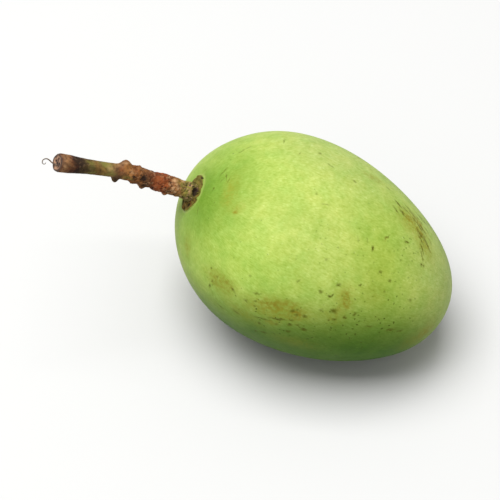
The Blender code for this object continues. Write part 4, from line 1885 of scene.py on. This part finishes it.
@dataclass
class Stem:
    """The cut length of woody stem.

    Lengths are in metres.
    """

    fruit: Fruit
    form: StemForm = StemForm()
    cut: CutFace = CutFace()
    sides: int = 128
    step: float = 0.14 * MM
    coarse: float = 0.10 * MM
    coarse_size: float = 1.7 * MM
    fine: float = 0.055 * MM
    fine_size: float = 0.6 * MM
    plate_height: float = 0.13 * MM
    plate_width: float = 1.5 * MM
    plate_shift: float = 0.5 * MM
    scaly_past: float = 3.0 * MM
    scaly_fade: float = 8.0 * MM
    foot_fade: float = 1.5 * MM
    bark_pits: tuple[Pit, ...] = (
        Pit((125.8, 95.7), 0.8, 0.45), Pit((142.0, 102.5), 0.5, 0.25), Pit((118.5, 95.0), 0.5, 0.25),
        Pit((84.0, 84.5), 0.5, 0.15), Pit((164.2, 105.0), 0.9, 0.80), Pit((163.8, 107.5), 0.7, 0.60),
    )

    def _line(self) -> tuple[Array, Array, Array]:
        """Lays the stem's middle line.

        Returns:
            Its points, its directions and the lengths along it.
        """
        lengths = np.linspace(0.0, self.form.length, int(self.form.length / self.step))
        seat = self.fruit.form.tilted(self.fruit.seat.point) + self.fruit.shift()
        points, ways = self.form.path(seat, self.fruit.form.tilted(self.fruit.seat.out), lengths)
        return points, ways, lengths

    def build(self) -> RingMesh:
        """Builds the stem and dresses it.

        Returns:
            The stem's mesh.
        """
        centres, ways, lengths = self._line()
        clock = clock_face(self.sides)
        upright = np.array([0.0, 0.0, 1.0])
        around = np.stack([ring_round(way, unit(np.cross(upright, way)), self.sides) for way in ways])
        radius = np.stack([self.form.radius(length, clock) for length in lengths])
        plain = centres[:, None, :] + radius[..., None] * around
        facing = around @ np.array(self.fruit.view.back)
        lean = self.cut.slope * smooth_step(1.0 + (lengths - lengths[-1]) / self.cut.reach)
        plain = plain - (lean[:, None] * radius * facing)[..., None] * ways[:, None, :]
        relief = self._bark_relief(plain, lengths)
        rings = list(plain + (relief * MM)[..., None] * around)
        along = list(np.repeat(lengths[:, None], self.sides, axis=1))
        outward = [np.ones(self.sides)] * len(rings)
        height = list(relief / (self.coarse / MM) / 2)
        for ring in range(1, self.cut.rings):
            share = 1.0 - ring / self.cut.rings
            rise = self.cut.rise(share, clock)
            flat = centres[-1] + (rings[len(lengths) - 1] - centres[-1]) * share
            rings.append(flat + (rise * MM)[:, None] * ways[-1])
            along.append(np.full(self.sides, lengths[-1]))
            outward.append(np.full(self.sides, share))
            # The cut face's relief, scaled so that it darkens the hollow and pits as painted shade.
            height.append(rise * self.cut.darkening)
        mesh = RingMesh("mango_stem", centres[0], rings, rings[-1].mean(axis=0))
        mesh.attribute("relief", np.append(np.concatenate(height), [0.0, 0.0]))
        mesh.attribute("along", np.append(np.concatenate(along) / (BarkFinish.length * MM), [0.0, 1.0]))
        mesh.attribute("outward", np.append(np.concatenate(outward), [1.0, 0.0]))
        cut = np.zeros(len(mesh.points), bool)
        cut[(len(lengths) - 1) * self.sides:] = True
        cut[-2] = False
        tree = BVHTree.FromObject(mesh.object, bpy.context.evaluated_depsgraph_get())
        bark_material = BarkFinish().material(tree, self.fruit.view)
        mesh.dress([bark_material, CutWoodFinish().material()], cut)
        mesh.place_on("stem")
        return mesh

    def _bark_relief(self, plain: Array, lengths: Array) -> Array:
        """Shapes the fine bark relief over the plain stem.

        Args:
            plain: The plain stem's points, ring by ring.
            lengths: The length along the stem of each ring.

        Returns:
            The relief at each point, in mm.
        """
        flat = plain.reshape(-1, 3)
        coarse = cloud(flat, self.coarse_size, octaves=3).reshape(plain.shape[:2])
        fine = cloud(flat + 1.0, self.fine_size, octaves=4).reshape(plain.shape[:2])
        scaly = smooth_step((self.form.old_end + self.scaly_past - lengths) / self.scaly_fade)[:, None]
        inside, number = plates(flat + self.plate_shift * fine.reshape(-1, 1), self.plate_width)
        scales = (inside + 0.8 * number - 1.2).reshape(plain.shape[:2])
        relief = (self.coarse * (1.1 * scaly + 0.4) * coarse + self.fine * (0.5 + scaly) * fine) / MM
        relief = relief + self.plate_height / MM * scaly * scales
        tree = BVHTree.FromPolygons(flat.tolist(), ring_faces(len(plain), self.sides))
        for pit in self.bark_pits:
            relief = relief - pit.depths(plain, tree, self.fruit.view)
        return relief * smooth_step(lengths / self.foot_fade)[:, None]


@dataclass
class Fibre:
    """The curl of torn fibre at the stem's cut end, by the pixels that show it.

    Lengths are in metres. The taper is the share of its thickness that it loses.
    """

    stem: RingMesh
    view: PhotoView
    root: Pixel = (60.6, 85.6)
    curl: tuple[Pixel, ...] = (
        (57.0, 83.7), (55.2, 82.0), (53.4, 80.9), (51.6, 80.9), (50.2, 81.9), (49.8, 83.5), (50.6, 84.7),
        (51.9, 84.7), (52.6, 83.8),
    )
    thickness: float = 0.60 * MM
    taper: float = 0.65
    sides: int = 10
    root_depth: float = 0.3 * MM
    root_height: float = 0.2 * MM
    towards_viewer: float = 0.2 * MM

    def build(self) -> RingMesh:
        """Builds the fibre as a thin tapering tube along a smooth curl.

        Returns:
            The fibre's mesh.
        """
        tree = BVHTree.FromObject(self.stem.object, bpy.context.evaluated_depsgraph_get())
        root, normal = self.view.hit(tree, self.root)
        knots = [root - self.root_depth * normal, root + self.root_height * normal]
        for index, pixel in enumerate(self.curl):
            knots.append(self.view.at(pixel, root) + index * self.towards_viewer * self.view.back)
        line = self._smooth(np.array(knots))
        rings = []
        for index, point in enumerate(line):
            way = unit(line[min(index + 1, len(line) - 1)] - line[max(index - 1, 0)])
            right = unit(np.cross(np.array(self.view.back), way))
            thickness = self.thickness / 2 * (1.0 - self.taper * index / len(line))
            rings.append(point + thickness * ring_round(way, right, self.sides))
        mesh = RingMesh("stem_fibre", line[0], rings, line[-1])
        mesh.dress([FibreFinish().material()])
        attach(mesh.object, "root")
        return mesh

    @staticmethod
    def _smooth(knots: Array, steps: int = 8) -> Array:
        """Lays a smooth line through knots.

        Args:
            knots: The knots.
            steps: How many steps lead from one to the next.

        Returns:
            The points of the line.
        """
        padded = np.vstack([2 * knots[0] - knots[1], knots, 2 * knots[-1] - knots[-2]])
        line = []
        for a, b, c, d in zip(padded, padded[1:], padded[2:], padded[3:]):
            bend, twist = 2 * a - 5 * b + 4 * c - d, 3 * b - a - 3 * c + d
            for t in np.arange(steps) / steps:
                line.append(0.5 * (2 * b + (c - a) * t + bend * t**2 + twist * t**3))
        return np.array([*line, knots[-1]])


@dataclass(frozen=True)
class FloorFinish(Finish):
    """A plain pale floor."""

    colour: Colour = (0.50, 0.50, 0.495)
    roughness: float = 0.9
    specular: float = 0.1

    def material(self) -> Material:
        """Makes the material.

        Returns:
            The material.
        """
        material, _, shader = self.start("pale_floor")
        shader.inputs["Base Color"].default_value = (*self.colour, 1.0)
        shader.inputs["Roughness"].default_value = self.roughness
        shader.inputs["Specular IOR Level"].default_value = self.specular
        return material


@dataclass(frozen=True)
class SoftBox:
    """A square light: where it is, how wide, how strong, and its colour."""

    name: str
    place: tuple[float, float, float]
    width: float
    power: float
    colour: Colour = (1.0, 1.0, 1.0)

    def add(self, target: Vector) -> None:
        """Adds the light.

        Args:
            target: The point that it is turned to.
        """
        data = bpy.data.lights.new(self.name, "AREA")
        data.shape = "SQUARE"
        data.size = self.width
        data.energy = self.power
        data.color = self.colour
        light = bpy.data.objects.new(self.name, data)
        light.location = self.place
        light.rotation_euler = (target - Vector(self.place)).to_track_quat("-Z", "Y").to_euler()
        bpy.context.scene.collection.objects.link(light)


@dataclass(frozen=True)
class Studio:
    """The pale floor, the soft lights and the surrounding light."""

    floor_half: float = 12.0
    sky: float = 0.60
    sky_colour: Colour = (1.0, 1.0, 1.0)
    lights: tuple[SoftBox, ...] = (
        SoftBox("key", (-0.25, -0.10, 1.48), 1.2, 38.0),
    )

    def build(self, view: PhotoView) -> None:
        """Builds the floor and the lights, and adds the camera.

        Args:
            view: The photograph's line of sight.
        """
        half = self.floor_half
        corners = [(-half, -half, 0), (half, -half, 0), (half, half, 0), (-half, half, 0)]
        mesh = bpy.data.meshes.new("floor")
        mesh.from_pydata(corners, [], [(0, 1, 2, 3)])
        floor = bpy.data.objects.new("floor", mesh)
        mesh.materials.append(FloorFinish().material())
        bpy.context.scene.collection.objects.link(floor)
        world = bpy.data.worlds.new("studio")
        world.use_nodes = True
        background = world.node_tree.nodes["Background"]
        background.inputs["Color"].default_value = (*self.sky_colour, 1.0)
        background.inputs["Strength"].default_value = self.sky
        bpy.context.scene.world = world
        bpy.context.scene.view_settings.view_transform = "Standard"
        for light in self.lights:
            light.add(view.middle)
        view.add_camera()


def clear_scene(kept: Iterable[bpy.types.Object]) -> None:
    """Removes what the scene holds apart from the frame's own objects.

    Args:
        kept: The frame's own objects.
    """
    names = {item.name for item in kept}
    for item in list(bpy.data.objects):
        if item.name not in names:
            bpy.data.objects.remove(item)


def report(mesh: RingMesh) -> None:
    """Logs a piece's name and its size."""
    size = mesh.points.max(axis=0) - mesh.points.min(axis=0)
    log.info("%s: %d points, %s mm", mesh.object.name, len(mesh.points), (size / MM).round(1))


def main() -> None:
    """Builds each piece in order."""
    logging.basicConfig(level=logging.INFO, format="%(name)s: %(message)s")
    clear_scene([*frame["bodies"].values(), *frame["nodes"].values()])
    view = PhotoView()
    fruit = Fruit(view)
    report(fruit.build())
    stem = Stem(fruit).build()
    report(stem)
    report(Fibre(stem, view).build())
    Studio().build(view)


if __name__ == "__main__":
    main()
